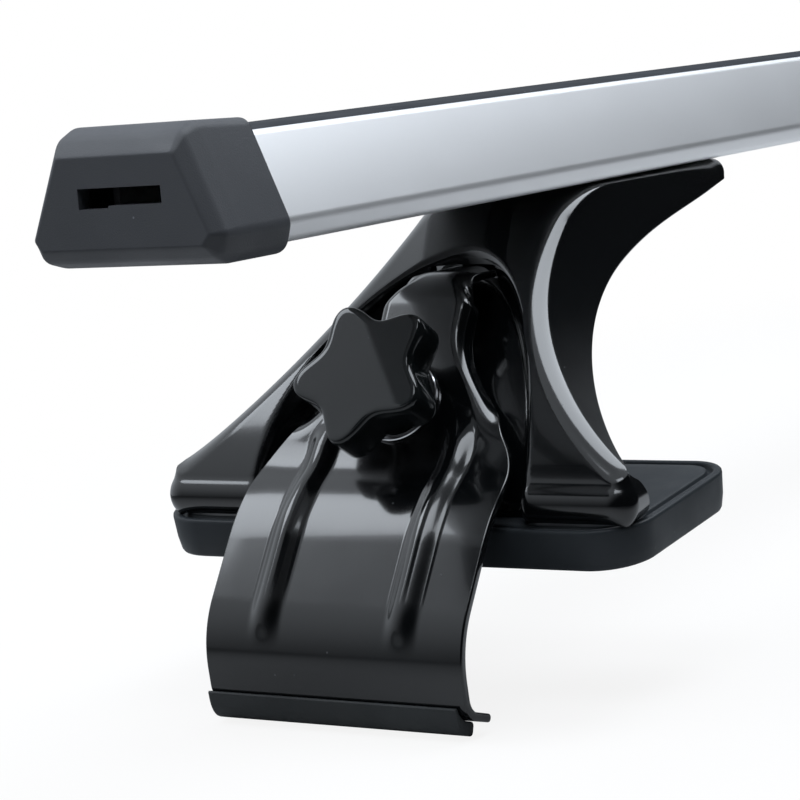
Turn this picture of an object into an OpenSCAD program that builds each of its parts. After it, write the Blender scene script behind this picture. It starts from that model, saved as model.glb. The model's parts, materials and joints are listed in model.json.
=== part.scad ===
// Roof rack crossbar: one aluminium bar on two clamp feet, for a car with no roof rails.
// Frame: X along the bar, Y fore and aft on the car, Z up, standing on the two hook sleeves.
// Each foot is drawn in its own frame: origin under the bar, -X outward, depths go down.

/* [Bar] */
// Length of the aluminium extrusion
bar_len = 1210; // [1050:1:1500]
// Height of the extrusion
bar_h = 30; // [28:0.5:36]
// Width across the top edges
bar_top_w = 37.3; // [35:0.1:42]
// Width across the side creases
bar_crease_w = 59.3; // [56:0.1:66]
// Height of the side creases above the underside
bar_crease_z = 5.9; // [5:0.1:8]
// Width of the underside
bar_base_w = 54.5; // [52:0.1:56]
// Wall of the extrusion
bar_wall = 2.2; // [1.6:0.1:2.6]
// Fillet of the upper corners
bar_top_r = 2.6; // [1.5:0.1:3.5]
// Fillet of the creases and lower corners
bar_low_r = 3.5; // [2:0.1:5]
// Width of the lower track's mouth
track_mouth = 9; // [8.6:0.1:11]
// Width inside the lower track
track_w = 23; // [21.5:0.1:24]
// Height inside the lower track
track_h = 7.5; // [6.5:0.1:8.5]
// Width of the strip groove's mouth
groove_mouth = 10; // [7:0.1:12]
// Width inside the strip groove
groove_w = 18; // [15:0.1:19]
// Height inside the strip groove
groove_h = 4.4; // [3.5:0.1:5]

/* [Rubber strip] */
// Width of the strip's cap
strip_w = 33; // [28:0.1:34]
// Height of the strip's crown above the bar
strip_crown = 0.9; // [0.4:0.1:1.5]
// Depth of the seat for the strip's cap
strip_seat = 1.2; // [0.8:0.1:1.6]

/* [End caps] */
// Length of a cap along the bar
cap_len = 38; // [28:1:55]
// Wall of a cap round the bar
cap_wall = 2.4; // [1.6:0.1:3.5]
// Thickness of a cap's end wall
cap_face = 5; // [4:0.1:7]
// Width of the slot in the end wall
cap_slot_w = 27; // [15:0.5:30]
// Height of the slot in the end wall
cap_slot_h = 4.8; // [3:0.1:6]

/* [Foot] */
// Distance from the bar's end to a foot's origin
foot_in = 256; // [210:1:330]
// Thickness of the pressed steel
foot_t = 3; // [2:0.1:3.5]
// Depth of the front fold below the bar
foot_drop = 78; // [73:1:86]
// Outward reach of the front wall from the top bend to the fold
foot_reach = 83; // [79:0.5:87]
// Half width of the saddle under the bar
saddle_half = 27.8; // [26:0.1:29]
// Growth of the half width from the saddle to the fold
foot_flare = 51.5; // [46:0.5:57]
// Length of the saddle inward of the origin
saddle_tail = 40; // [30:1:50]
// Depth of the pressed recess
recess_d = 11; // [9:0.5:12]
// Half width of the recess at its foot
recess_half = 48; // [46:0.5:50]

/* [Roof pad] */
// Thickness of the rubber pad
pad_t = 12.5; // [10:0.5:16]
// Length of the pad across the roof edge
pad_len = 73; // [68:1:84]
// Reach of the pad past each side wall of the foot
pad_over = 5.2; // [3:0.1:9]
// Tilt of the pad that follows the roof's crown
pad_tilt = 4.75; // [3:0.25:6]

/* [Hook] */
// Thickness of the hook's steel
hook_t = 2.5; // [2:0.1:3]
// Half width of the jaw
hook_half = 44.3; // [40:0.1:48]
// Half width of the waist
waist_half = 15.5; // [14.5:0.1:17]
// Length of the flat shank under the knob
shank_len = 45; // [44:0.5:48]
// Length of the flat below the belly
lower_len = 20; // [16:0.5:26]
// Length of the inward lip
lip_len = 7; // [5:0.5:9]
// Height of the two pressed beads
bead_h = 2.6; // [1.5:0.1:3.5]
// Half spacing of the beads
bead_y = 23.5; // [21:0.5:26]
// Rubber thickness under the lip
sleeve_t = 5; // [3:0.1:6]

/* [Clamp] */
// Diameter of the stud
stud_d = 8; // [7:0.5:8]
// Outer diameter of the star knob
knob_d = 46.5; // [38:0.5:50]
// Thickness of the star
knob_t = 13; // [9:0.5:16]
// Height of the round hub behind the star
hub_h = 9.5; // [8:0.5:12]
// Diameter of the hub
hub_d = 23; // [19:0.5:25]
// Diameter of the washer
washer_d = 26; // [24:0.5:26]
// Diameter of the two track bolts
bolt_d = 8; // [6:0.5:8]
// Distance between the two track bolts
bolt_pitch = 50; // [40:1:52]

/* [Hidden] */
$fn = 32;
EPS = 0.01;
FIT = 0.15;          // clearance between pieces that are pushed together
RUN = 0.2;           // clearance between pieces that slide
LEFT = 0;            // turn of the left foot about Z
RIGHT = 180;         // turn of the right foot about Z
foot_x = bar_len / 2 - foot_in;

// Small helpers
function unit(v) = v / norm(v);
function lerp(a, b, k) = a + (b - a) * k;
function clamp01(k) = min(1, max(0, k));
function ease(k) = let (c = clamp01(k)) c * c * (3 - 2 * c);
function bezier2(a, b, c, k) = (1 - k) * (1 - k) * a + 2 * (1 - k) * k * b + k * k * c;
function bezier3(a, b, c, d, k) =
    pow(1 - k, 3) * a + 3 * pow(1 - k, 2) * k * b + 3 * (1 - k) * k * k * c + pow(k, 3) * d;

// One rounded corner of an outline, and a whole outline of [x, y, radius] corners
function corner(a, b, c, r, n) =
    let (
        u = unit(a - b),
        v = unit(c - b),
        half = acos(u * v) / 2,
        mid = b + unit(u + v) * r / sin(half),
        p = b + u * r / tan(half) - mid,
        q = b + v * r / tan(half) - mid,
        a0 = atan2(p[1], p[0]),
        a1 = atan2(q[1], q[0]),
        turn = a1 - a0 > 180 ? a1 - a0 - 360 : (a1 - a0 < -180 ? a1 - a0 + 360 : a1 - a0)
    )
    [for (i = [0:n]) mid + r * [cos(a0 + turn * i / n), sin(a0 + turn * i / n)]];
function outline(pts, n = 5) =
    [for (i = [0:len(pts) - 1])
        let (
            m = len(pts),
            a = pts[(i + m - 1) % m],
            b = pts[i],
            c = pts[(i + 1) % m]
        )
        each corner([a[0], a[1]], [b[0], b[1]], [c[0], c[1]], b[2], n)];
function mirrored(half_pts) =
    concat(half_pts, [for (i = [len(half_pts) - 1:-1:0]) [-half_pts[i][0], half_pts[i][1], half_pts[i][2]]]);

// A closed sheet between two grids of points with the same rows and columns
module sheet(outer, inner) {
    rows = len(outer);
    cols = len(outer[0]);
    pts = concat([for (r = outer) each r], [for (r = inner) each r]);
    back = rows * cols;
    function id(i, j) = i * cols + j;
    skin = [for (i = [0:rows - 2]) for (j = [0:cols - 2])
        each [[id(i, j), id(i + 1, j + 1), id(i, j + 1)], [id(i, j), id(i + 1, j), id(i + 1, j + 1)]]];
    under = [for (f = skin) [f[2] + back, f[1] + back, f[0] + back]];
    first = [for (j = [0:cols - 2])
        each [[id(0, j), id(0, j + 1), id(0, j + 1) + back],
              [id(0, j), id(0, j + 1) + back, id(0, j) + back]]];
    last = [for (j = [0:cols - 2])
        each [[id(rows - 1, j + 1), id(rows - 1, j), id(rows - 1, j) + back],
              [id(rows - 1, j + 1), id(rows - 1, j) + back, id(rows - 1, j + 1) + back]]];
    left = [for (i = [0:rows - 2])
        each [[id(i + 1, 0), id(i, 0), id(i, 0) + back],
              [id(i + 1, 0), id(i, 0) + back, id(i + 1, 0) + back]]];
    right = [for (i = [0:rows - 2])
        each [[id(i, cols - 1), id(i + 1, cols - 1), id(i + 1, cols - 1) + back],
              [id(i, cols - 1), id(i + 1, cols - 1) + back, id(i, cols - 1) + back]]];
    polyhedron(points = pts, faces = concat(skin, under, first, last, left, right), convexity = 8);
}

// Hook path: a strip that leaves the foot, turns down, kicks out and curls in at the lip.
// Heading 0 points outward, 90 points down. Each step is [flat length, bend, bend radius].
tongue_z = -21.5;
tongue_turn_r = 4;
tongue_start = [-76, tongue_z + 9];
tongue_len = 24;
tongue_drop = 5;
shank_r = 17;
shank_angle = 58;
belly_kick = 26;
HOOK_STEPS = [
    [tongue_drop, -90, tongue_turn_r],
    [tongue_len, shank_angle, shank_r],
    [shank_len, -belly_kick, 30],
    [0, 23, 55],
    [lower_len, 41, 30],
    [5, 66, 8],
    [lip_len, 0, 1]
];
function dir_at(h) = [-cos(h), -sin(h)];
function out_at(h) = [-sin(h), cos(h)];
function bend_at(p, h, turn, k, r) = p + r * sign(turn) * (out_at(h + turn * k) - out_at(h));
function bend_end(p, h, turn, r) = bend_at(p, h, turn, 1, r);
// Rows along the path: [x, z, heading, length so far]
function hook_rows(i, p, h, s) =
    i == len(HOOK_STEPS) ? [[p[0], p[1], h, s]] :
    let (
        flat = HOOK_STEPS[i][0],
        turn = HOOK_STEPS[i][1],
        r = HOOK_STEPS[i][2],
        nf = max(1, ceil(flat / 7.5)),
        nb = max(1, ceil(abs(turn) / 11.6)),
        q = p + dir_at(h) * flat,
        arc = abs(turn) * PI / 180 * r
    )
    concat(
        flat > 0 ? [for (k = [0:nf - 1]) concat(p + dir_at(h) * flat * k / nf, [h, s + flat * k / nf])] : [],
        turn == 0 ? [] : [for (k = [0:nb - 1])
            concat(bend_at(q, h, turn, k / nb, r), [h + turn * k / nb, s + flat + arc * k / nb])],
        hook_rows(i + 1, turn == 0 ? q : bend_end(q, h, turn, r), h + turn, s + flat + arc)
    );
HOOK_PATH = hook_rows(0, tongue_start, 90, 0);
hook_total = HOOK_PATH[len(HOOK_PATH) - 1][3];

// Hook width, side flanges and beads, as functions of the depth below the bar
tongue_half = 10.5;
flare_top = 36;
flare_end = flare_top + shank_len - 1;
function hook_w(d) =
    tongue_half + (waist_half - tongue_half) * ease((d + tongue_z) / 9)
    + (hook_half - waist_half) * ease((d - flare_top) / (flare_end - flare_top));
flange_d = 4.2;
flange_from = 1.5 - tongue_z - 3;
flange_to = flange_from + shank_len * 2 / 3;
function flange_amount(d, s) =
    ease((d - flange_from) / 6) * (1 - ease((d - flange_to) / 18)) * (s > tongue_len - 4 ? 1 : 0);
bead_half = 5.6;
bead_top = 60;
bead_end = flare_end + lower_len + 21;
function bead_amount(d) = ease((d - bead_top) / 10) * (1 - ease((d - bead_end + 12) / 12));
function bead_at(y, d) = bead_h * bead_amount(d) * pow(cos(90 * clamp01(abs(y - bead_y) / bead_half)), 1.3);

// Half of a hook section as [y, proud, lean] columns; lean turns from 0 on the flat to 90 on the flange
function hook_half_row(d, s) =
    let (
        w = hook_w(d),
        amount = flange_amount(d, s),
        lean = max(0.5, 84 * amount),
        arc = 3.4,
        r = arc / (lean * PI / 180),
        flat = w - r * sin(lean) - flange_d * (1 - amount) * cos(lean) * 0.6,
        rim = lerp(0.6 * flange_d, flange_d, amount),
        k = min(1, flat / (bead_y + bead_half + 1)),
        ys = [0, bead_y - bead_half, bead_y - bead_half / 2, bead_y, bead_y + bead_half / 2, bead_y + bead_half],
        lift = bead_at(flat, d)
    )
    concat(
        [for (y = ys) [y * k, k < 1 ? 0 : bead_at(y, d), 0]],
        [[flat, 0, 0]],
        [for (q = [0.5, 1]) [flat + r * sin(lean * q), -r * (1 - cos(lean * q)), lean * q]],
        [[flat + r * sin(lean) + rim * cos(lean), -r * (1 - cos(lean)) - rim * sin(lean), lean]]
    );
function hook_point(row, y, proud) =
    let (n = out_at(row[2])) [row[0] + n[0] * proud, y, row[1] + n[1] * proud];
function hook_line(row, back) =
    let (
        half = hook_half_row(-row[1], row[3]),
        m = len(half)
    )
    [for (j = [-(m - 1):m - 1])
        let (c = half[abs(j)], y = c[0] - back * sin(c[2]), proud = c[1] - back * cos(c[2]))
        hook_point(row, sign(j) * y, proud)];

// Stud: square to the shank, a named distance down the flat
stud_tilt = 90 - shank_angle;
stud_down = 32.5;
tongue_end = bend_end(tongue_start + dir_at(90) * tongue_drop, 90, -90, tongue_turn_r) + dir_at(0) * tongue_len;
shank_start = bend_end(tongue_end, 0, shank_angle, shank_r);
stud_foot = shank_start + dir_at(shank_angle) * stud_down;
module on_stud(h = 0) {
    translate([stud_foot[0], 0, stud_foot[1]])
        rotate([0, -(90 - stud_tilt), 0])
            translate([0, 0, h])
                children();
}

// Front wall of the foot: how far out it stands and how wide it is at a depth
saddle_front = 64.5;
FRONT_LEAD = 1.617;
function front_x(d) =
    let (u = d / foot_drop) -saddle_front - foot_reach * (FRONT_LEAD * u - (FRONT_LEAD - 1) * u * u);
function foot_w(d) = saddle_half + foot_flare * pow(d / foot_drop, 2);
bend_d = 8;
function front_slope(d) =
    let (u = d / foot_drop) -foot_reach * (FRONT_LEAD - 2 * (FRONT_LEAD - 1) * u) / foot_drop;

// Ridge line: t 0 to 1 along the saddle, 1 to 2 round the top bend, 2 to 3 down the front
bend_key = front_x(bend_d) - front_slope(bend_d) * bend_d;
bend_in = bend_key + 16;
function ridge(t) =
    t < 1 ? [lerp(saddle_tail, bend_in, t), 0] :
    t < 2 ? bezier2([bend_in, 0], [bend_key, 0], [front_x(bend_d), -bend_d], t - 1) :
    let (d = lerp(bend_d, foot_drop, t - 2)) [front_x(d), -d];
// Rear edge of the side wall, from the tail's tip to the foot of the ridge
wall_end = [front_x(foot_drop) + 9, 3 - foot_drop];
wall_knee = [-20, -19];
wall_bow = [40, -24];
function wall_edge(t) =
    let (k = t < 1 ? 0.38 * t : (t < 2 ? lerp(0.38, 0.5, t - 1) : lerp(0.5, 1, t - 2)))
    bezier3([saddle_tail - 2, -8], wall_knee, [wall_end[0] + wall_bow[0], wall_bow[1]], wall_end, k);
function ridge_r(t) = lerp(6, 9, clamp01(t - 2));

// Recess: an arched press in the front wall, pushed in along the stud
arch_top = 15.2;
recess_edge = 7;
function recess_w(d) =
    let (k = clamp01((foot_drop - 1 - d) / (foot_drop - 1 - arch_top)))
    recess_half * pow(1 - pow(k, 1.8), 0.55);
function recess_at(y, d) =
    recess_d * ease((recess_w(d) - abs(y)) / recess_edge) * ease((d - arch_top + 1) / 6);
press_rise = 0.42;
press_fade = 20;
function press_dir(d) =
    [cos(stud_tilt), 0, -sin(stud_tilt) * (1 - press_rise * ease((d - foot_drop) / press_fade + 1))];

// One half column of the foot: q 0 to 1 flat front, 1 to 2 ridge corner, 2 to 3 side wall
function flat_y(q, d, lim) =
    let (
        w = recess_w(d),
        inner = max(lim * 0.25, min(lim * 0.5, w - recess_edge)),
        outer = max(inner + 1, min(w + 0.5, lim * 0.93))
    )
    q < 0.35 ? lerp(0, inner, q / 0.35) :
    q < 0.85 ? lerp(inner, outer, (q - 0.35) / 0.5) : lerp(outer, lim, (q - 0.85) / 0.15);
function foot_base(t, q, side) =
    let (
        c = ridge(t),
        e = wall_edge(t),
        a = unit(e - c),
        reach = norm(e - c),
        r = min(ridge_r(t), reach * 0.8),
        w = foot_w(-c[1]),
        phi = 90 * clamp01(q - 1),
        run = r * (1 - cos(phi)) + (reach - r) * clamp01(q - 2),
        p = c + a * run,
        grow = q > 2 ? foot_w(-p[1]) - foot_w(-(c + a * r)[1]) : 0,
        y = q < 1 ? flat_y(q, -c[1], w - r) : w - r + r * sin(phi) + grow
    )
    [p[0], side * y, p[1]];
// Unit normal of the smooth base, out of the foot
function foot_normal(t, q, side) =
    let (
        h = 0.02,
        dt = foot_base(min(3, t + h), q, side) - foot_base(max(0, t - h), q, side),
        qa = max(0, q - h),
        qb = min(3, q + h),
        dq = q < h ? [0, 1, 0] * side : foot_base(t, qb, side) - foot_base(t, qa, side)
    )
    unit(cross(dt, dq)) * side * -1;
function foot_pressed(t, q, side, back) =
    let (b = foot_base(t, q, side), d = -ridge(t)[1])
    b - foot_normal(t, q, side) * back + press_dir(d) * (q < 1 ? recess_at(b[1], d) : 0);

// Lip: the foot's lower edge turns out over the pad and dips at its corners
lip_turn = 48;
lip_r = 5;
lip_flat = 3.5;
lip_dip = 5.7;
lip_lean = atan(1 / -front_slope(foot_drop));
function lip_out(k) =
    k < 1 ? lip_r * (sin(lip_lean) - sin(lip_lean - lip_turn * k)) :
    lip_out(0.999) + lip_flat * (k - 1) * cos(lip_lean - lip_turn);
function lip_down(k) =
    k < 1 ? lip_r * (cos(lip_lean - lip_turn * k) - cos(lip_lean)) :
    lip_down(0.999) + lip_flat * (k - 1) * sin(lip_lean - lip_turn);
function foot_lip(k, q, side, back) =
    let (
        p = foot_pressed(3, q, side, back),
        phi = 90 * clamp01(q - 1),
        o = lip_out(k),
        lift = back * (1 - cos(lip_turn * min(1, k))) * 0.5
    )
    p + [-cos(phi) * o, side * sin(phi) * o, -lip_down(k) - lip_dip * ease(phi / 90) * k / 2 - lift];

FOOT_T = [0, 0.35, 0.7, 1, 1.35, 1.7, 2, 2.07, 2.14, 2.21, 2.28, 2.36, 2.45, 2.54, 2.63, 2.72, 2.81, 2.9, 3];
LIP_K = [0.5, 1, 2];
FOOT_Q = [0, 0.2, 0.35, 0.5, 0.6, 0.72, 0.85, 1, 1.3, 1.65, 2, 2.35, 2.7, 3];
COLS = [for (j = [-(len(FOOT_Q) - 1):len(FOOT_Q) - 1]) [FOOT_Q[abs(j)], j < 0 ? -1 : 1]];
function foot_grid(back) = concat(
    [for (t = FOOT_T) [for (c = COLS) foot_pressed(t, c[0], c[1], back)]],
    [for (k = LIP_K) [for (c = COLS) foot_lip(k, c[0], c[1], back)]]);

// Standing height: the sleeve's lowest point is the ground
sleeve_from = hook_total - lip_len - 66 * PI / 180 * 8 + 1.4;
sleeve_to = hook_total - lip_len * 0.55;
function sleeve_thick(s) = lerp(1.3, sleeve_t, ease((s - sleeve_from) / (sleeve_to - sleeve_from) * 1.5));
SLEEVE_ROWS = [for (r = HOOK_PATH) if (r[3] > sleeve_from && r[3] < sleeve_to) r];
sleeve_low = min([for (r = SLEEVE_ROWS) hook_point(r, 0, FIT + sleeve_thick(r[3]))[2]]);
bar_z = -sleeve_low;

// Foot frame to part frame
module at_foot(turn) {
    rotate([0, 0, turn])
        translate([-foot_x, 0, bar_z])
            children();
}

// Bar section and the pieces that follow it
function bar_outline(grow, lift = 0) = mirrored([
    [bar_base_w / 2 + grow, -grow, bar_low_r + grow],
    [bar_crease_w / 2 + grow, bar_crease_z, bar_low_r + grow],
    [bar_top_w / 2 + grow, bar_h + grow + lift, bar_top_r + grow]
]);
module along_bar(length) {
    rotate([90, 0, 90])
        translate([0, 0, -length / 2])
            linear_extrude(height = length)
                children();
}
seat_z = bar_h - strip_seat;
groove_top = seat_z - 1.8;
track_top = bar_wall + track_h;
side_in = track_w / 2 + bar_wall * 0.9;
slope_in = (bar_crease_w - bar_top_w) / 2 / (bar_h - bar_crease_z);
function side_y(z) = bar_crease_w / 2 - (z - bar_crease_z) * slope_in - bar_wall * 1.1;
base_in = min(bar_base_w / 2 - bar_wall, side_y(bar_crease_z));
module bar_section() {
    difference() {
        polygon(outline(bar_outline(0)));
        translate([0, seat_z + strip_seat / 2 + EPS])
            square([strip_w + 2 * FIT, strip_seat + 2 * EPS], center = true);
        translate([0, seat_z])
            square([groove_mouth, 6], center = true);
        translate([-groove_w / 2, groove_top - groove_h])
            square([groove_w, groove_h]);
        translate([-track_mouth / 2, -EPS])
            square([track_mouth, bar_wall + 1]);
        translate([-track_w / 2, bar_wall])
            square([track_w, track_h]);
        for (m = [0, 1])
            mirror([m, 0])
                polygon([
                    [side_in, bar_wall], [base_in, bar_wall],
                    [side_y(bar_crease_z), bar_crease_z], [side_y(groove_top), groove_top],
                    [groove_w / 2 + 2, groove_top], [groove_w / 2 + 2, track_top + 2],
                    [side_in, track_top + 2]
                ]);
        translate([-groove_w / 2, track_top + 2])
            square([groove_w, groove_top - groove_h - track_top - 4]);
    }
}

module bar_extrusion() {
    color("silver")
        translate([0, 0, bar_z])
            along_bar(bar_len)
                bar_section();
}

module top_strip() {
    base_w = groove_w - 2 * FIT;
    neck_w = groove_mouth - 2 * FIT;
    base_t = 2.2;
    between_caps = bar_len - 2 * (cap_len - cap_face) - 2 * RUN;
    color("dimgray")
        translate([0, 0, bar_z])
            along_bar(between_caps)
                union() {
                    polygon([
                        [-strip_w / 2, seat_z], [strip_w / 2, seat_z], [strip_w / 2, bar_h],
                        [strip_w / 2 - 3, bar_h + strip_crown], [3 - strip_w / 2, bar_h + strip_crown],
                        [-strip_w / 2, bar_h]
                    ]);
                    translate([-neck_w / 2, groove_top - base_t])
                        square([neck_w, seat_z - groove_top + base_t + EPS]);
                    translate([-base_w / 2, groove_top - base_t - FIT])
                        square([base_w, base_t]);
                }
}

// End cap: a tapered moulding over the bar's end, with two pegs in the side chambers
shoulder_in = 9.5;
chamfer_in = 4;
peg_len = 16;
peg_w = 7;
peg_h = 8;
slot_rib = 1.2;
slot_z = 14.4;
slot_split = cap_slot_w * 0.66;
// One slice of the cap: how far it stands out at the top edges, the creases, above and below
module cap_slice(x, side_top, side_low, top, low, r) {
    translate([x, 0, 0])
        rotate([90, 0, 90])
            linear_extrude(height = 0.4)
                polygon(outline(mirrored([
                    [bar_base_w / 2 + side_low, -low, r],
                    [bar_crease_w / 2 + side_low, bar_crease_z, r],
                    [bar_top_w / 2 + side_top, bar_h + top, min(r, bar_top_r)]
                ])));
}
module end_cap(turn) {
    inner = bar_len / 2;
    outer = inner + cap_face;
    color("dimgray")
        rotate([0, 0, turn])
            translate([0, 0, bar_z])
                difference() {
                    hull() {
                        cap_slice(outer - cap_len, cap_wall, cap_wall, cap_wall + 1.4, cap_wall, 5);
                        cap_slice(outer - shoulder_in, cap_wall - 0.4, cap_wall - 0.4, cap_wall + 2.2, cap_wall, 5);
                        cap_slice(outer - chamfer_in, cap_wall - 0.8, cap_wall - 0.8, cap_wall - 0.2, 0.6, 3);
                        cap_slice(outer - 0.4, 0.5, -1, -2.6, -3, 1.2);
                    }
                    difference() {
                        translate([inner - cap_len, 0, 0])
                            rotate([90, 0, 90])
                                linear_extrude(height = cap_len)
                                    polygon(outline(bar_outline(FIT, strip_crown + FIT)));
                        for (m = [0, 1])
                            mirror([0, m, 0])
                                translate([inner - peg_len, side_in + FIT, bar_wall + FIT])
                                    cube([peg_len + 1, peg_w, peg_h]);
                    }
                    translate([inner - 1, 1 - cap_slot_w / 2, slot_z])
                        cube([cap_face + 2, slot_split, cap_slot_h * 0.74]);
                    translate([inner - 1, 1 - cap_slot_w / 2 + slot_split + slot_rib, slot_z])
                        cube([cap_face + 2, cap_slot_w - slot_split - slot_rib, cap_slot_h]);
                }
}

// Foot bracket: one pressed sheet with the hook's slot, a stud seat and two bolt holes
seat_front = 9.2;
seat_r = 12;
seat_t = foot_t + 4;
slot_x = -103;
slot_deep = 22;
slot_clear = 1.2;
slot_lid = 0.4;
bolt_x = [-bolt_pitch + 12, 12];
module foot_bracket(turn) {
    color("black")
        at_foot(turn)
            difference() {
                union() {
                    translate([0, 0, -RUN])
                        sheet(foot_grid(0), foot_grid(foot_t));
                    on_stud(-seat_front - seat_t)
                        cylinder(r = seat_r, h = seat_t);
                }
                on_stud(-seat_front - seat_t - 10)
                    cylinder(d = stud_d + 2 * FIT, h = seat_t + 20);
                translate([slot_x, -tongue_half - slot_clear, tongue_z - hook_t - slot_clear])
                    cube([slot_deep, 2 * (tongue_half + slot_clear), hook_t + slot_clear + slot_lid]);
                for (x = bolt_x)
                    translate([x, 0, -foot_t - 5])
                        cylinder(d = bolt_d + 0.5, h = foot_t + 10);
            }
}

// Roof pad: a rubber tray under the foot, tilted to the roof
pad_front = front_x(foot_drop) - 4.5;
pad_top = -foot_drop - 11.7;
pad_half = foot_w(foot_drop) + pad_over;
pad_rim = 2.8;
groove_run = 1.8;
function pad_outline(inset) = outline([
    [inset, -pad_half + inset, 17 - inset], [pad_len - inset, -pad_half + inset, 14 - inset],
    [pad_len - inset, pad_half - inset, 14 - inset], [inset, pad_half - inset, 17 - inset]
]);
module in_pad() {
    translate([pad_front, 0, pad_top])
        rotate([0, -pad_tilt, 0])
            children();
}
module roof_pad(turn) {
    color("darkslategray")
        at_foot(turn)
            in_pad()
                difference() {
                    translate([0, 0, -pad_t])
                        linear_extrude(height = pad_t)
                            polygon(pad_outline(0));
                    translate([0, 0, -groove_run])
                        linear_extrude(height = groove_run + 1)
                            difference() {
                                polygon(pad_outline(pad_rim));
                                polygon(pad_outline(pad_rim + groove_run));
                            }
                }
}

module clamp_hook(turn) {
    slot_w = stud_d + 1;
    slot_run = 5.5;
    color("black")
        at_foot(turn)
            difference() {
                sheet([for (r = HOOK_PATH) hook_line(r, 0)], [for (r = HOOK_PATH) hook_line(r, hook_t)]);
                on_stud(-hook_t - 3)
                    union() {
                        cylinder(d = slot_w, h = hook_t + 6);
                        translate([-slot_run, 0, 0])
                            cylinder(d = slot_w, h = hook_t + 6);
                        translate([-slot_run, -slot_w / 2, 0])
                            cube([slot_run, slot_w, hook_t + 6]);
                    }
            }
}

// Rubber sleeve round the outside of the lip
module hook_sleeve(turn) {
    function line(r, proud) = [for (y = [-hook_half + 3, -hook_half / 2, 0, hook_half / 2, hook_half + 0.5])
        hook_point(r, y, proud)];
    color("darkslategray")
        at_foot(turn)
            sheet([for (r = SLEEVE_ROWS) line(r, FIT + sleeve_thick(r[3]))], [for (r = SLEEVE_ROWS) line(r, FIT)]);
}

// Clamp hardware on the stud
washer_t = 1.6;
nut_flat = 13;
nut_h = 5.8;
head_h = 4.5;
stud_out = 20;
module clamp_stud(turn) {
    inner = -seat_front - seat_t - FIT;
    color("silver")
        at_foot(turn)
            on_stud(inner)
                union() {
                    cylinder(d = stud_d, h = stud_out - inner);
                    translate([0, 0, -head_h])
                        cylinder(d1 = stud_d + 4, d2 = stud_d + 9, h = head_h);
                }
}
module hex_nut(flat, bore, h) {
    difference() {
        cylinder(d = flat / cos(30), h = h, $fn = 6);
        translate([0, 0, -1])
            cylinder(d = bore, h = h + 2);
    }
}
module stud_lock_nut(turn) {
    color("silver")
        at_foot(turn)
            on_stud(-seat_front)
                hex_nut(nut_flat, stud_d + 2 * FIT, nut_h);
}
module clamp_washer(turn) {
    color("gainsboro")
        at_foot(turn)
            on_stud(FIT)
                difference() {
                    cylinder(d = washer_d, h = washer_t);
                    translate([0, 0, -1])
                        cylinder(d = stud_d + 1, h = washer_t + 2);
                }
}
knob_base = FIT + washer_t + FIT;
insert_d = 13;
insert_h = stud_out - knob_base + 1.5;
star_turn = 29;
function star(r_out, k) = [for (a = [0:6:354])
    let (c = cos(5 * a)) r_out * (0.855 + 0.145 * c - 0.02 * (1 - c * c)) * k * [cos(a), sin(a)]];
module clamp_knob(turn) {
    edge = 1.6;
    color("black")
        at_foot(turn)
            on_stud(knob_base)
                rotate([0, 0, star_turn])
                    difference() {
                        union() {
                            cylinder(d = hub_d, h = hub_h + EPS);
                            translate([0, 0, hub_h])
                                linear_extrude(height = knob_t - edge)
                                    polygon(star(knob_d / 2, 1));
                            translate([0, 0, hub_h + knob_t - edge - EPS])
                                linear_extrude(height = edge, scale = 0.92)
                                    polygon(star(knob_d / 2, 1));
                        }
                        translate([0, 0, -EPS])
                            cylinder(d = insert_d, h = insert_h);
                    }
}
module knob_insert(turn) {
    color("goldenrod")
        at_foot(turn)
            on_stud(knob_base)
                difference() {
                    rotate([0, 0, star_turn])
                        cylinder(d = insert_d - 2 * EPS, h = insert_h - 2 * EPS);
                    translate([0, 0, -1])
                        cylinder(d = stud_d + 0.1, h = insert_h);
                }
}

// Track hardware: a T-bolt, washer and nut at each hole of the saddle
plate_under = -RUN - foot_t;
track_washer_t = 1.6;
track_nut_h = 6.5;
module track_bolt(turn, x) {
    head_t = 4;
    color("silver")
        at_foot(turn)
            translate([x, 0, 0])
                union() {
                    translate([-6.5, -track_w / 2 + 0.75, bar_wall + RUN])
                        cube([13, track_w - 1.5, head_t]);
                    translate([0, 0, plate_under - track_washer_t - track_nut_h - 3])
                        cylinder(d = bolt_d, h = bar_wall + RUN + 1 - plate_under + track_washer_t + track_nut_h + 3);
                }
}
module track_washer(turn, x) {
    color("gainsboro")
        at_foot(turn)
            translate([x, 0, plate_under - track_washer_t])
                difference() {
                    cylinder(d = 2 * bolt_d, h = track_washer_t);
                    translate([0, 0, -1])
                        cylinder(d = bolt_d + 0.4, h = track_washer_t + 2);
                }
}
module track_nut(turn, x) {
    color("silver")
        at_foot(turn)
            translate([x, 0, plate_under - track_washer_t - track_nut_h])
                hex_nut(nut_flat, bolt_d + 2 * FIT, track_nut_h);
}

bar_extrusion();
top_strip();
end_cap(180);  // end_cap_left
end_cap(0);  // end_cap_right
foot_bracket(LEFT);  // foot_bracket_left
roof_pad(LEFT);  // roof_pad_left
clamp_hook(LEFT);  // clamp_hook_left
hook_sleeve(LEFT);  // hook_sleeve_left
clamp_stud(LEFT);  // clamp_stud_left
stud_lock_nut(LEFT);  // stud_lock_nut_left
clamp_washer(LEFT);  // clamp_washer_left
clamp_knob(LEFT);  // clamp_knob_left
knob_insert(LEFT);  // knob_insert_left
track_bolt(LEFT, bolt_x[0]);  // track_bolt_outer_left
track_bolt(LEFT, bolt_x[1]);  // track_bolt_inner_left
track_washer(LEFT, bolt_x[0]);  // track_washer_outer_left
track_washer(LEFT, bolt_x[1]);  // track_washer_inner_left
track_nut(LEFT, bolt_x[0]);  // track_nut_outer_left
track_nut(LEFT, bolt_x[1]);  // track_nut_inner_left
foot_bracket(RIGHT);  // foot_bracket_right
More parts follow.
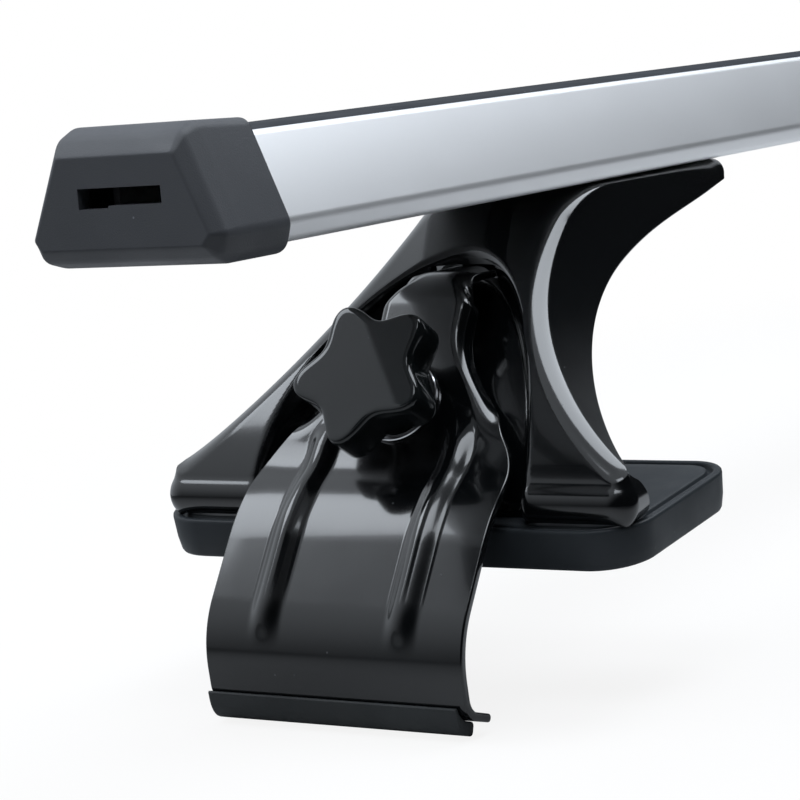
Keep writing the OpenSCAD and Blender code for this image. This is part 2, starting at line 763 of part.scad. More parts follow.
roof_pad(RIGHT);  // roof_pad_right
clamp_hook(RIGHT);  // clamp_hook_right
hook_sleeve(RIGHT);  // hook_sleeve_right
clamp_stud(RIGHT);  // clamp_stud_right
stud_lock_nut(RIGHT);  // stud_lock_nut_right
clamp_washer(RIGHT);  // clamp_washer_right
clamp_knob(RIGHT);  // clamp_knob_right
knob_insert(RIGHT);  // knob_insert_right
track_bolt(RIGHT, bolt_x[0]);  // track_bolt_outer_right
track_bolt(RIGHT, bolt_x[1]);  // track_bolt_inner_right
track_washer(RIGHT, bolt_x[0]);  // track_washer_outer_right
track_washer(RIGHT, bolt_x[1]);  // track_washer_inner_right
track_nut(RIGHT, bolt_x[0]);  // track_nut_outer_right
track_nut(RIGHT, bolt_x[1]);  // track_nut_inner_right
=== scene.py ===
"""Roof rack crossbar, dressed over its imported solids.

Every piece is a numpy surface in millimetres, in the foot's own frame or the bar's, then placed in metres
in its mesh. Foot frame: origin at the foot on the bar's underside, -X towards the bar's end, Z up.
"""
import json
import math

import bpy
import numpy as np
from mathutils import Matrix, Vector
from mathutils.geometry import tessellate_polygon


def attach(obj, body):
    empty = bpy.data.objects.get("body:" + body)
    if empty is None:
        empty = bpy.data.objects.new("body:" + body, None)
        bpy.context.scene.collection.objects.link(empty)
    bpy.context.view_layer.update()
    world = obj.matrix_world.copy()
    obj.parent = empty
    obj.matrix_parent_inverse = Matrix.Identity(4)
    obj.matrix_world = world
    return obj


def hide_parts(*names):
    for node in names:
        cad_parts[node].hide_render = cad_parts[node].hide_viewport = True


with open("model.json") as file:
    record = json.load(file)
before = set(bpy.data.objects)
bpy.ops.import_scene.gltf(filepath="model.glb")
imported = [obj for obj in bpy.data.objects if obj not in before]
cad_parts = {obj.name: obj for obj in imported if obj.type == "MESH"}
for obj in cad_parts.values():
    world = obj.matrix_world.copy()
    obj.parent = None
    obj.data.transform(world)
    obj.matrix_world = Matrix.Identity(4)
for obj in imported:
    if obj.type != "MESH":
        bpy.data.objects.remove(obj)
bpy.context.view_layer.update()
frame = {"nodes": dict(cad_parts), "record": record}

MM = 0.001

# Sizes in millimetres, as in the part's source but for CAP_SHOWN, which is shorter, as in the photograph
BAR_LEN, BAR_H, BAR_TOP_W = 1210.0, 30.0, 37.3
BAR_CREASE_W, BAR_CREASE_Z, BAR_BASE_W = 59.3, 5.9, 54.5
BAR_WALL, BAR_TOP_R, BAR_LOW_R = 2.2, 2.6, 3.5
TRACK_MOUTH, TRACK_W, TRACK_H = 9.0, 23.0, 7.5
STRIP_W, STRIP_CROWN, STRIP_SEAT = 33.0, 0.9, 1.2
CAP_SHOWN, CAP_FACE = 31.5, 5.0
CAP_SLOT_W, CAP_SLOT_H = 27.0, 5.4
FOOT_X, BAR_Z = 349.0, 145.662
FOOT_T, FOOT_DROP, FOOT_REACH = 3.0, 78.0, 83.0
SADDLE_HALF, FOOT_FLARE, SADDLE_TAIL = 27.8, 51.5, 40.0
RECESS_D, RECESS_HALF, RECESS_EDGE, ARCH_TOP = 11.0, 48.0, 7.0, 15.2
PAD_T, PAD_LEN, PAD_HALF, PAD_TILT = 12.5, 73.0, 84.5, 4.75
HOOK_T, HOOK_HALF, WAIST_HALF, TONGUE_HALF = 2.5, 44.3, 15.5, 10.5
SHANK_LEN, LOWER_LEN, LIP_LEN = 45.0, 20.0, 7.0
BEAD_H, BEAD_Y, BEAD_HALF = 2.6, 23.5, 5.6
SLEEVE_T, FIT, RUN = 5.0, 0.15, 0.2
STUD_D, KNOB_D, KNOB_T, HUB_H, HUB_D = 8.0, 46.5, 13.0, 9.5, 23.0
WASHER_D, WASHER_T, STAR_TURN = 26.0, 1.6, 29.0
KNOB_BASE = FIT + WASHER_T + FIT
STUD_TILT, STUD_FOOT = 32.0, (-135.639, -57.0529)
SIDES = ("left", "right")


# Small helpers on arrays, and meshes from them
def clamp01(k):
    return np.clip(k, 0.0, 1.0)


def ease(k):
    """Smooth step: 3c^2 - 2c^3 of k held between 0 and 1."""
    c = clamp01(k)
    return c * c * (3 - 2 * c)


def lerp(a, b, k):
    return a + (b - a) * k


def unit(v):
    return v / np.maximum(np.linalg.norm(v, axis=-1, keepdims=True), 1e-12)


def sind(a):
    return np.sin(np.radians(a))


def cosd(a):
    return np.cos(np.radians(a))


def grid_quads(rows, cols, start=0, close=False):
    """Quads of a rows x cols grid of points numbered row by row; close joins the last column to the first."""
    i = np.arange(rows - 1)[:, None]
    j = np.arange(cols if close else cols - 1)[None, :]
    a = start + i * cols + j
    b = start + i * cols + (j + 1) % cols
    return np.stack([a, b, b + cols, a + cols], axis=-1).reshape(-1, 4)


def build(name, points, quads, sharp=32.0, tris=None):
    """A mesh object from points in metres, quads and triangles, smooth but for edges past sharp degrees."""
    quads = np.asarray(quads, np.int64).reshape(-1, 4)
    tris = np.zeros((0, 3), np.int64) if tris is None else np.asarray(tris, np.int64).reshape(-1, 3)
    mesh = bpy.data.meshes.new(name)
    mesh.vertices.add(len(points))
    mesh.vertices.foreach_set("co", np.asarray(points, np.float32).ravel())
    loops = np.concatenate([quads.ravel(), tris.ravel()])
    mesh.loops.add(len(loops))
    mesh.loops.foreach_set("vertex_index", loops.astype(np.int32))
    sizes = np.concatenate([np.full(len(quads), 4), np.full(len(tris), 3)])
    mesh.polygons.add(len(sizes))
    mesh.polygons.foreach_set("loop_start", (np.cumsum(sizes) - sizes).astype(np.int32))
    mesh.polygons.foreach_set("loop_total", sizes.astype(np.int32))
    mesh.update(calc_edges=True)
    mesh.polygons.foreach_set("use_smooth", np.ones(len(sizes), bool))
    mesh.set_sharp_from_angle(angle=math.radians(sharp))
    mesh.validate()
    obj = bpy.data.objects.new(name, mesh)
    bpy.context.scene.collection.objects.link(obj)
    return obj


def surface_normals(p, towards):
    """Unit normals of a grid by central differences, turned so that its middle looks towards a direction."""
    n = unit(np.cross(np.gradient(p, axis=0), np.gradient(p, axis=1)))
    mid = n[p.shape[0] // 2, p.shape[1] // 2]
    return n if mid @ np.asarray(towards, float) > 0 else -n


def rimmed(p, n, depth, edge, steps=4):
    """The grid with rings added on all four sides that roll over its rim: outward by edge*sin, down by
    edge*(1-cos). The first ring lies edge inside the true rim."""
    turns = np.radians(np.linspace(0, 90, steps))
    for axis in (0, 1):
        p, n, depth = (np.moveaxis(g, axis, 0) for g in (p, n, depth))
        out = []
        for end, near in ((0, 1), (-1, -2)):
            away = unit(p[end] - p[near])
            ring_p = np.stack([p[end] + away * edge * (math.sin(a) - 1) for a in turns])
            ring_n = np.stack([n[end]] * steps)
            ring_d = np.stack([depth[end] + edge * (1 - math.cos(a)) for a in turns])
            out.append((ring_p, ring_n, ring_d))
        (p0, n0, d0), (p1, n1, d1) = out
        p = np.concatenate([p0[::-1], p[1:-1], p1])
        n = np.concatenate([n0[::-1], n[1:-1], n1])
        depth = np.concatenate([d0[::-1], depth[1:-1], d1])
        p, n, depth = (np.moveaxis(g, 0, axis) for g in (p, n, depth))
    return p, n, depth


def sheet_mesh(p, n, thick, edge):
    """Closed pressed sheet under a grid: show face p, back face thick behind it along n, rolled rims."""
    thick = np.broadcast_to(thick, p.shape[:2]).astype(float)
    q, m, depth = rimmed(p, n, np.zeros(p.shape[:2]), edge)
    full = rimmed(p, n, thick, 0.0)[2]
    depth = np.minimum(depth, full / 2 - 0.01)
    top = (q - m * depth[..., None]).reshape(-1, 3)
    low = (q - m * (full - depth)[..., None]).reshape(-1, 3)
    rows, cols = q.shape[:2]
    count = rows * cols
    skin = grid_quads(rows, cols)
    ids = np.arange(count).reshape(rows, cols)
    loop = np.concatenate([ids[0, :-1], ids[:-1, -1], ids[-1, :0:-1], ids[:0:-1, 0]])
    after = np.roll(loop, -1)
    rim = np.stack([after, loop, loop + count, after + count], axis=-1)
    return np.concatenate([top, low]), np.concatenate([skin, skin[:, ::-1] + count, rim])


def to_row(p, side):
    """Foot frame in millimetres to the part's frame in metres; the right foot is turned half a turn."""
    q = np.array(p, float)
    q[..., 0] -= FOOT_X
    q[..., 2] += BAR_Z
    if side == "right":
        q[..., :2] *= -1
    return q * MM


def on_stud(p):
    """Points with Z up the stud to the foot frame: tilted outward, standing on the shank's face."""
    a = math.radians(90 - STUD_TILT)
    turn = np.array([[math.cos(a), 0, -math.sin(a)], [0, 1, 0], [math.sin(a), 0, math.cos(a)]])
    return np.asarray(p, float) @ turn.T + np.array([STUD_FOOT[0], 0, STUD_FOOT[1]])


# The foot: one pressed sheet
SADDLE_FRONT, FRONT_LEAD, BEND_D = 64.5, 1.617, 8.0
LIP_TURN, LIP_R, LIP_BACK, LIP_LENGTH = 16.0, 8.0, 98.0, 12.0
NOSE_DIP, NOSE_SWEEP = 3.0, 9.0
ARCH_POWER, ARCH_SIDE_POWER = 1.8, 1.82
PIP_X, PIP_Y, PIP_H = -95.0, 6.6, 0.9


def front_x(d):
    """How far out the front wall stands at depth d: a parabola that steepens downwards."""
    u = d / FOOT_DROP
    return -SADDLE_FRONT - FOOT_REACH * (FRONT_LEAD * u - (FRONT_LEAD - 1) * u * u)


def front_slope(d):
    return -FOOT_REACH * (FRONT_LEAD - 2 * (FRONT_LEAD - 1) * d / FOOT_DROP) / FOOT_DROP


def foot_half(d):
    """Half width of the foot at depth d: the saddle's, growing with the square of the depth."""
    return SADDLE_HALF + FOOT_FLARE * (d / FOOT_DROP) ** 2


BEND_KEY = front_x(BEND_D) - front_slope(BEND_D) * BEND_D
BEND_IN = BEND_KEY + 16
WALL_KEYS = ((SADDLE_TAIL - 2, -7.0), (-12.0, -19.0), (-60.0, -14.0),
             (front_x(FOOT_DROP) + 4.5, 3 - FOOT_DROP))
WALL_SHARE = (0.2, 0.56)  # how far along the wall's rear edge the saddle ends, and the bend
LIP_LEAN = math.degrees(math.atan(1 / -front_slope(FOOT_DROP)))


def ridge_line(t):
    """Ridge as x, z: straight along the saddle to t 1, a quadratic bend to t 2, down the front to t 3."""
    k = clamp01(t - 1)
    d = lerp(BEND_D, FOOT_DROP, clamp01(t - 2))
    bend = (1 - k) ** 2 * BEND_IN + 2 * (1 - k) * k * BEND_KEY + k * k * front_x(BEND_D)
    saddle = lerp(SADDLE_TAIL, BEND_IN, clamp01(t))
    x = np.where(t < 1, saddle, np.where(t < 2, bend, front_x(d)))
    z = np.where(t < 1, 0.0, np.where(t < 2, -k * k * BEND_D, -d))
    return x, z


def wall_edge(t):
    """Rear edge of the side wall as x, z: one cubic from the saddle's tip to the foot of the ridge."""
    u, v = WALL_SHARE
    k = np.where(t < 1, u * t, np.where(t < 2, lerp(u, v, t - 1), lerp(v, 1.0, t - 2)))
    w = ((1 - k) ** 3, 3 * (1 - k) ** 2 * k, 3 * (1 - k) * k * k, k ** 3)
    return tuple(sum(a * key[i] for a, key in zip(w, WALL_KEYS)) for i in (0, 1))


def arc_step(lean, turn, length):
    """Outward and downward parts of an arc that starts lean degrees under the level and turns on its way."""
    turn = np.where(np.abs(turn) < 0.01, 0.01, turn)
    r = length / np.radians(turn)
    return r * (sind(lean + turn) - sind(lean)), r * (cosd(lean) - cosd(lean + turn))


def recess_reach(d, y):
    """About how far a point of the front lies inside the arched recess: f = 1 - k^1.8 - (y / half)^1.82 over
    the length of its gradient, with k running from the bottom up to the arch's top."""
    height = FOOT_DROP - 1 - ARCH_TOP
    k, w = clamp01((FOOT_DROP - 1 - d) / height + 1e-6), np.abs(y) / RECESS_HALF
    over = np.maximum((FOOT_DROP - 1 - d) / height, 0)
    f = 1 - over ** ARCH_POWER - w ** ARCH_SIDE_POWER
    slope = np.hypot(ARCH_POWER * k ** (ARCH_POWER - 1) / height,
                     ARCH_SIDE_POWER * w ** (ARCH_SIDE_POWER - 1) / RECESS_HALF)
    return f / np.maximum(slope, 0.012)


def foot_points(t, c):
    """Show face of the foot. t runs down the ridge and, past 3, round the rolled lip; c runs across: up to 1
    the flat front with its recess, 1 to 2 the ridge's quarter round, 2 to 3 the side wall, with the sign of
    the side. A small round pip stands in the recess, beside its middle line."""
    tt, q, side = np.minimum(t, 3.0), np.abs(c), np.sign(c)
    cx, cz = ridge_line(tt)
    ex, ez = wall_edge(tt)
    reach = np.hypot(ex - cx, ez - cz)
    ax, az = (ex - cx) / reach, (ez - cz) / reach
    r = np.minimum(lerp(6.5, 5.5, clamp01(tt - 2)), reach * 0.8)
    w = foot_half(-cz)
    phi = 90 * clamp01(q - 1)
    run = r * (1 - cosd(phi)) + (reach - r) * clamp01(q - 2)
    x, z = cx + ax * run, cz + az * run
    grow = np.where(q > 2, foot_half(-z) - foot_half(-(cz + az * r)), 0.0)
    y = np.where(q < 1, (w - r) * q, w - r + r * sind(phi) + grow)
    d = -cz
    push = RECESS_D * ease(recess_reach(d, y) / RECESS_EDGE) * (q < 1)
    rise = 1 - 0.42 * ease((d - FOOT_DROP) / 20 + 1)
    x = x + push * cosd(STUD_TILT)
    z = z - push * sind(STUD_TILT) * rise
    k = np.clip((t - 3) * 2, 0, 2)
    first, last = np.minimum(k, 1), clamp01(k - 1)
    out, down = arc_step(LIP_LEAN, -LIP_TURN * first, LIP_R * math.radians(LIP_TURN) * first)
    more_out, more_down = arc_step(LIP_LEAN - LIP_TURN, LIP_BACK * last, LIP_LENGTH * last)
    out, down = out + more_out, down + more_down
    x = x - cosd(phi) * out + NOSE_SWEEP * clamp01(q - 2) * ease(k / 2)
    y = y + sind(phi) * out
    z = z - down - NOSE_DIP * ease(phi / 90) * k / 2
    pip = PIP_H * np.exp(-(((x - PIP_X) ** 2 + (side * y - PIP_Y) ** 2) / 5.0)) * (q < 1)
    x, z = x - pip * cosd(STUD_TILT), z - RUN + pip * sind(STUD_TILT)
    return np.stack(np.broadcast_arrays(x, side * y, z), axis=-1)


def stretches(*counts):
    """Numbers from 0 that rise by one over each count of steps in turn, each whole number once."""
    return np.concatenate([np.linspace(i, i + 1, n)[i > 0:] for i, n in enumerate(counts)])


def both_sides(q):
    return np.concatenate([-q[:0:-1], q])


def foot_grid():
    return foot_points(stretches(22, 16, 96, 26)[:, None], both_sides(stretches(66, 14, 24))[None, :])


# The hook: one strip carried along a path
TONGUE_Z = -21.5
CURL_TURN, CURL_R = 66, 8
HOOK_STEPS = ((5, -90, 4), (24, 58, 17), (SHANK_LEN, -26, 30), (0, 23, 55), (LOWER_LEN, 41, 30),
              (5, CURL_TURN, CURL_R), (LIP_LEN, 0, 1))  # flat, degrees turned and radius of each stretch
FLANGE_LEAN, FLANGE_R, FLANGE_RIM = 84, 5.4, 4.2


def hook_path(flat_step=1.2, bend_step=3.0):
    """Rows x, z, heading and length along the strip: flats and arcs in turn, heading 0 outward, 90 down."""
    p, h, s, rows = np.array([-76.0, TONGUE_Z + 9]), 90.0, 0.0, []
    for flat, turn, r in HOOK_STEPS:
        along = np.array([-cosd(h), -sind(h)])
        if flat:
            k = np.linspace(0, 1, max(2, math.ceil(flat / flat_step)) + 1)[:-1, None]
            rows.append(np.hstack([p + along * flat * k, np.full_like(k, h), s + flat * k]))
        p, s = p + along * flat, s + flat
        if turn:
            k = np.linspace(0, 1, max(2, math.ceil(abs(turn) / bend_step)) + 1)[:, None]
            face = lambda a: np.hstack([-sind(a), cosd(a)])
            arc = p + r * np.sign(turn) * (face(h + turn * k) - face(np.full_like(k, h)))
            length = abs(math.radians(turn)) * r
            rows.append(np.hstack([arc[:-1], (h + turn * k)[:-1], (s + length * k)[:-1]]))
            p, h, s = arc[-1], h + turn, s + length
    rows.append(np.array([[p[0], p[1], h, s]]))
    return np.vstack(rows)


def hook_half_width(d):
    return (TONGUE_HALF + (WAIST_HALF - TONGUE_HALF) * ease((d + TONGUE_Z) / 9)
            + (HOOK_HALF - WAIST_HALF) * ease((d - 36) / 44))


def bead_height(y, d):
    """Pressed bead: a softened half cosine across, eased in and out along the strip."""
    amount = ease((d - 60) / 10) * (1 - ease((d - 109) / 12))
    return BEAD_H * amount * cosd(90 * clamp01(np.abs(y - BEAD_Y) / BEAD_HALF)) ** 1.3


def hook_points(path, c):
    """Show face of the hook. Across, c up to 1 is the flat with its two beads, 1 to 2 the arc into a side
    flange that stands up along the neck and lies flat elsewhere, and 2 to 3 the flange's rim."""
    x, z, h, s = (path[:, i:i + 1] for i in range(4))
    q, side = np.abs(c)[None, :], np.sign(c)[None, :]
    d = -z
    amount = ease((d - 20) / 6) * (1 - ease((d - 50) / 18)) * (s > 20)
    lean = np.maximum(0.5, FLANGE_LEAN * amount)
    r = FLANGE_R / np.radians(lean)
    flat = hook_half_width(d) - r * sind(lean) - FLANGE_RIM * (1 - amount) * cosd(lean) * 0.6
    rim = lerp(0.6 * FLANGE_RIM, FLANGE_RIM, amount)
    turn = lean * clamp01(q - 1)
    past = rim * clamp01(q - 2)
    y = np.where(q < 1, flat * q, flat + r * sind(turn) + past * cosd(lean))
    proud = np.where(q < 1, bead_height(flat * q, d), -r * (1 - cosd(turn)) - past * sind(lean))
    x, z = x - sind(h) * proud, z + cosd(h) * proud
    return np.stack(np.broadcast_arrays(x, side * y, z), axis=-1)


def hook_grid():
    return hook_points(hook_path(), both_sides(stretches(52, 9, 6)))


SLEEVE_FROM_END = LIP_LEN + math.radians(CURL_TURN) * CURL_R - 1.4
SLEEVE_THIN, SLEEVE_THICK = 1.3, SLEEVE_T - 0.8


def sleeve_surface():
    """Rubber on the outside of the curl: the hook's own path, lifted by a thickness that eases in. Returns
    its show face, its normals and its thickness."""
    path = hook_path(0.6, 2.0)
    total = path[-1, 3]
    start, stop = total - SLEEVE_FROM_END, total - LIP_LEN * 0.55
    path = path[(path[:, 3] > start) & (path[:, 3] < stop)]
    h, s = path[:, 2:3], path[:, 3:4]
    thick = lerp(SLEEVE_THIN, SLEEVE_THICK, ease((s - start) / (stop - start) * 1.5))
    y = np.linspace(-HOOK_HALF + 3, HOOK_HALF + 0.5, 90)[None, :]
    proud = FIT + thick
    n = np.stack(np.broadcast_arrays(-sind(h), 0 * y, cosd(h)), axis=-1)
    x, z = path[:, 0:1] - sind(h) * proud, path[:, 1:2] + cosd(h) * proud
    p = np.stack(np.broadcast_arrays(x, y, z), axis=-1)
    return p, n, np.broadcast_to(thick, p.shape[:2])


# Rounded outlines, lofts and turned pieces
def rounded(corners, steps=8):
    """Closed outline through corners [x, y, radius], each rounded by an arc of its radius."""
    pts = np.asarray(corners, float)
    out = []
    for a, b, c in zip(np.roll(pts, 1, 0), pts, np.roll(pts, -1, 0)):
        u, v = unit(a[:2] - b[:2]), unit(c[:2] - b[:2])
        half = math.acos(np.clip(u @ v, -1, 1)) / 2
        mid = b[:2] + unit(u + v) * b[2] / math.sin(half)
        p, q = b[:2] + u * b[2] / math.tan(half) - mid, b[:2] + v * b[2] / math.tan(half) - mid
        a0 = math.atan2(p[1], p[0])
        turn = (math.atan2(q[1], q[0]) - a0 + math.pi) % (2 * math.pi) - math.pi
        k = a0 + turn * np.linspace(0, 1, steps)
        out.append(mid + b[2] * np.stack([np.cos(k), np.sin(k)], axis=-1))
    return np.vstack(out)


def mirrored(half):
    return list(half) + [(-y, z, r) for y, z, r in reversed(half)]


def loft(rings):
    """Points and faces of a solid through rings of equal count, closed at both ends round a centre point."""
    rings = np.asarray(rings, float)
    rows, cols = rings.shape[:2]
    pts, quads, tris = rings.reshape(-1, 3), grid_quads(rows, cols, close=True), []
    j = np.arange(cols)
    for end, base in ((0, 0), (-1, (rows - 1) * cols)):
        tip = np.full(cols, len(pts))
        pts = np.vstack([pts, rings[end].mean(0)])
        a, b = base + j, base + (j + 1) % cols
        tris.append(np.stack([tip, b, a] if end == 0 else [tip, a, b], axis=-1))
    return pts, quads, np.vstack(tris)


def flat_faces(outlines):
    """Triangles over an area with holes, all turned the same way, from its [y, z] outlines."""
    faces = np.array(tessellate_polygon([[Vector((*q, 0)) for q in outline] for outline in outlines]))
    flat = np.vstack(outlines)
    a, b, c = (flat[faces[:, i]] for i in range(3))
    up = (b - a)[:, 0] * (c - a)[:, 1] - (b - a)[:, 1] * (c - a)[:, 0] > 0
    return np.where(up[:, None], faces, faces[:, ::-1])


def turned(profile, count=96):
    """A profile of [radius, height] points turned about Z, from its lowest end to its highest."""
    a = np.linspace(0, 2 * math.pi, count, endpoint=False)
    r, z = (np.asarray(profile, float)[:, i:i + 1] for i in (0, 1))
    return np.stack(np.broadcast_arrays(r * np.cos(a), r * np.sin(a), z), axis=-1)


def ring_solid(inner, outer, low, high, edge=0.25, count=96):
    """A washer: a bevelled rectangle turned about Z and joined to itself."""
    profile = [(inner, low + edge), (inner + edge, low), (outer - edge, low), (outer, low + edge),
               (outer, high - edge), (outer - edge, high), (inner + edge, high), (inner, high - edge),
               (inner, low + edge)]
    rings = turned(profile, count)
    rows = len(profile) - 1
    quads = grid_quads(len(profile), count, close=True) % (rows * count)
    return rings[:-1].reshape(-1, 3), quads


def cut(obj, cutters, operation="DIFFERENCE", sharp=32.0):
    """Cuts or joins closed meshes into obj for good, then takes the cutters away."""
    for cutter in cutters:
        mod = obj.modifiers.new("cut", "BOOLEAN")
        mod.solver, mod.operation, mod.object = "MANIFOLD", operation, cutter
    bpy.context.view_layer.update()
    done = bpy.data.meshes.new_from_object(obj.evaluated_get(bpy.context.evaluated_depsgraph_get()))
    obj.modifiers.clear()
    obj.data = done
    done.polygons.foreach_set("use_smooth", np.ones(len(done.polygons), bool))
    done.set_sharp_from_angle(angle=math.radians(sharp))
    for cutter in cutters:
        bpy.data.objects.remove(cutter)
    return obj


def rod(radius, low, high, place, side, edge=0.0):
    """A closed cylinder to cut or join with, placed by a function of foot points."""
    profile = [(0.001, low), (radius - edge, low), (radius, low + edge),
               (radius, high - edge), (radius - edge, high), (0.001, high)]
    pts, quads, tris = loft(turned(profile, 64))
    return build("cutter", to_row(place(pts), side), quads, tris=tris)


def block(low, high, place):
    """A closed box to cut with, between two corners, brought to metres by a function of points."""
    (x0, y0, z0), (x1, y1, z1) = low, high
    ring = lambda z: [(x0, y0, z), (x1, y0, z), (x1, y1, z), (x0, y1, z)]
    pts, quads, tris = loft([ring(z0), ring(z1)])
    return build("cutter", place(pts), quads, tris=tris)


def show(obj, body, slot, node_name):
    """The piece rides on its body, takes its slot's finish and stands for its solid."""
    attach(obj, body)
    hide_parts(node_name)
    obj.data.materials.clear()
    obj.data.materials.append(FINISH[slot])


# Shared shader groups: masks, values and normals on Object coordinates
def new_group(name, inputs, outputs):
    tree = bpy.data.node_groups.new(name, "ShaderNodeTree")
    for label, kind, value in inputs:
        tree.interface.new_socket(name=label, in_out="INPUT", socket_type=kind).default_value = value
    for label, kind in outputs:
        tree.interface.new_socket(name=label, in_out="OUTPUT", socket_type=kind)
    return tree, tree.nodes.new("NodeGroupInput"), tree.nodes.new("NodeGroupOutput")


def node(tree, kind, **settings):
    made = tree.nodes.new(kind)
    for key, value in settings.items():
        setattr(made, key, value)
    return made


def math_node(tree, operation, a, b=None, c=None):
    made = node(tree, "ShaderNodeMath", operation=operation)
    for i, v in enumerate((a, b, c)):
        if v is None:
            continue
        if isinstance(v, (int, float)):
            made.inputs[i].default_value = v
        else:
            tree.links.new(v, made.inputs[i])
    return made.outputs[0]


def object_coords(tree):
    return node(tree, "ShaderNodeTexCoord").outputs["Object"]


def dust_group():
    """Dust: small round specks at random cells. Mask is 1 inside a speck."""
    tree, given, out = new_group(
        "dust_specks", (("Scale", "NodeSocketFloat", 260.0), ("Share", "NodeSocketFloat", 0.04)),
        (("Mask", "NodeSocketFloat"),))
    cells = node(tree, "ShaderNodeTexVoronoi", feature="F1")
    tree.links.new(object_coords(tree), cells.inputs["Vector"])
    tree.links.new(given.outputs["Scale"], cells.inputs["Scale"])
    near = math_node(tree, "LESS_THAN", cells.outputs["Distance"], 0.09)
    split = node(tree, "ShaderNodeSeparateColor")
    tree.links.new(cells.outputs["Color"], split.inputs["Color"])
    pick = math_node(tree, "LESS_THAN", split.outputs["Red"], given.outputs["Share"])
    tree.links.new(math_node(tree, "MULTIPLY", near, pick), out.inputs["Mask"])
    return tree


def grain_group():
    """Fine grain: noise as a bumped normal."""
    tree, given, out = new_group(
        "moulded_grain", (("Scale", "NodeSocketFloat", 1500.0), ("Height", "NodeSocketFloat", 0.00004)),
        (("Normal", "NodeSocketVector"),))
    noise = node(tree, "ShaderNodeTexNoise")
    noise.inputs["Detail"].default_value = 3.0
    noise.inputs["Roughness"].default_value = 0.6
    tree.links.new(object_coords(tree), noise.inputs["Vector"])
    tree.links.new(given.outputs["Scale"], noise.inputs["Scale"])
    bump = node(tree, "ShaderNodeBump")
    bump.inputs["Strength"].default_value = 1.0
    tree.links.new(given.outputs["Height"], bump.inputs["Distance"])
    tree.links.new(noise.outputs["Fac"], bump.inputs["Height"])
    tree.links.new(bump.outputs["Normal"], out.inputs["Normal"])
    return tree


def mottle_group():
    """Slow cloudy change across a surface, held between Low and High."""
    tree, given, out = new_group(
        "cloudy_change", (("Scale", "NodeSocketFloat", 20.0), ("Low", "NodeSocketFloat", 0.0),
                          ("High", "NodeSocketFloat", 1.0)),
        (("Value", "NodeSocketFloat"),))
    noise = node(tree, "ShaderNodeTexNoise")
    noise.inputs["Detail"].default_value = 4.0
    tree.links.new(object_coords(tree), noise.inputs["Vector"])
    tree.links.new(given.outputs["Scale"], noise.inputs["Scale"])
    ramp = node(tree, "ShaderNodeMapRange", interpolation_type="SMOOTHSTEP")
    ramp.inputs["From Min"].default_value = 0.35
    ramp.inputs["From Max"].default_value = 0.65
    tree.links.new(noise.outputs["Fac"], ramp.inputs["Value"])
    tree.links.new(given.outputs["Low"], ramp.inputs["To Min"])
    tree.links.new(given.outputs["High"], ramp.inputs["To Max"])
    tree.links.new(ramp.outputs["Result"], out.inputs["Value"])
    return tree


DUST, GRAIN, MOTTLE = dust_group(), grain_group(), mottle_group()


def placed(tree, group, **values):
    made = node(tree, "ShaderNodeGroup", node_tree=group)
    for key, value in values.items():
        made.inputs[key].default_value = value
    return made


def mixed(tree, factor, first, second, into):
    """Mixes two colours by a factor into a socket, and returns the first one's socket."""
    made = node(tree, "ShaderNodeMix", data_type="RGBA")
    made.inputs["A"].default_value = (*first, 1)
    made.inputs["B"].default_value = (*second, 1)
    tree.links.new(factor, made.inputs["Factor"])
    tree.links.new(made.outputs["Result"], into)
    return made.inputs["A"]


def finish(name, colour, roughness, metallic=0.0, grain=None, clouds=0.0, dust=None, drift=0.08,
           **sockets):
    """A finish: roughness that drifts, fine grain, and a base colour with slow clouds and dust specks where
    they are asked for. A colour that is the same all over stands on the shader's own socket."""
    mat = bpy.data.materials.new(name)
    mat.use_nodes = True
    tree = mat.node_tree
    shader = tree.nodes["Principled BSDF"]
    base = shader.inputs["Base Color"]
    base.default_value = (*colour, 1)
    shader.inputs["Metallic"].default_value = metallic
    for key, value in sockets.items():
        shader.inputs[key.replace("_", " ")].default_value = value
    low, high = roughness * (1 - drift), roughness * (1 + drift)
    rough = placed(tree, MOTTLE, Scale=60.0, Low=low, High=high).outputs["Value"]
    if dust:
        scale, share, dust_colour = dust
        specks = placed(tree, DUST, Scale=scale, Share=share).outputs["Mask"]
        base = mixed(tree, specks, colour, dust_colour, base)
        rough = math_node(tree, "MAXIMUM", rough, math_node(tree, "MULTIPLY", specks, 0.7))
    if clouds:
        slow = placed(tree, MOTTLE, Scale=24.0).outputs["Value"]
        mixed(tree, slow, colour, [min(1, v * (1 + clouds)) for v in colour], base)
    tree.links.new(rough, shader.inputs["Roughness"])
    if grain:
        fine = placed(tree, GRAIN, Scale=grain[0], Height=grain[1])
        tree.links.new(fine.outputs["Normal"], shader.inputs["Normal"])
    return mat


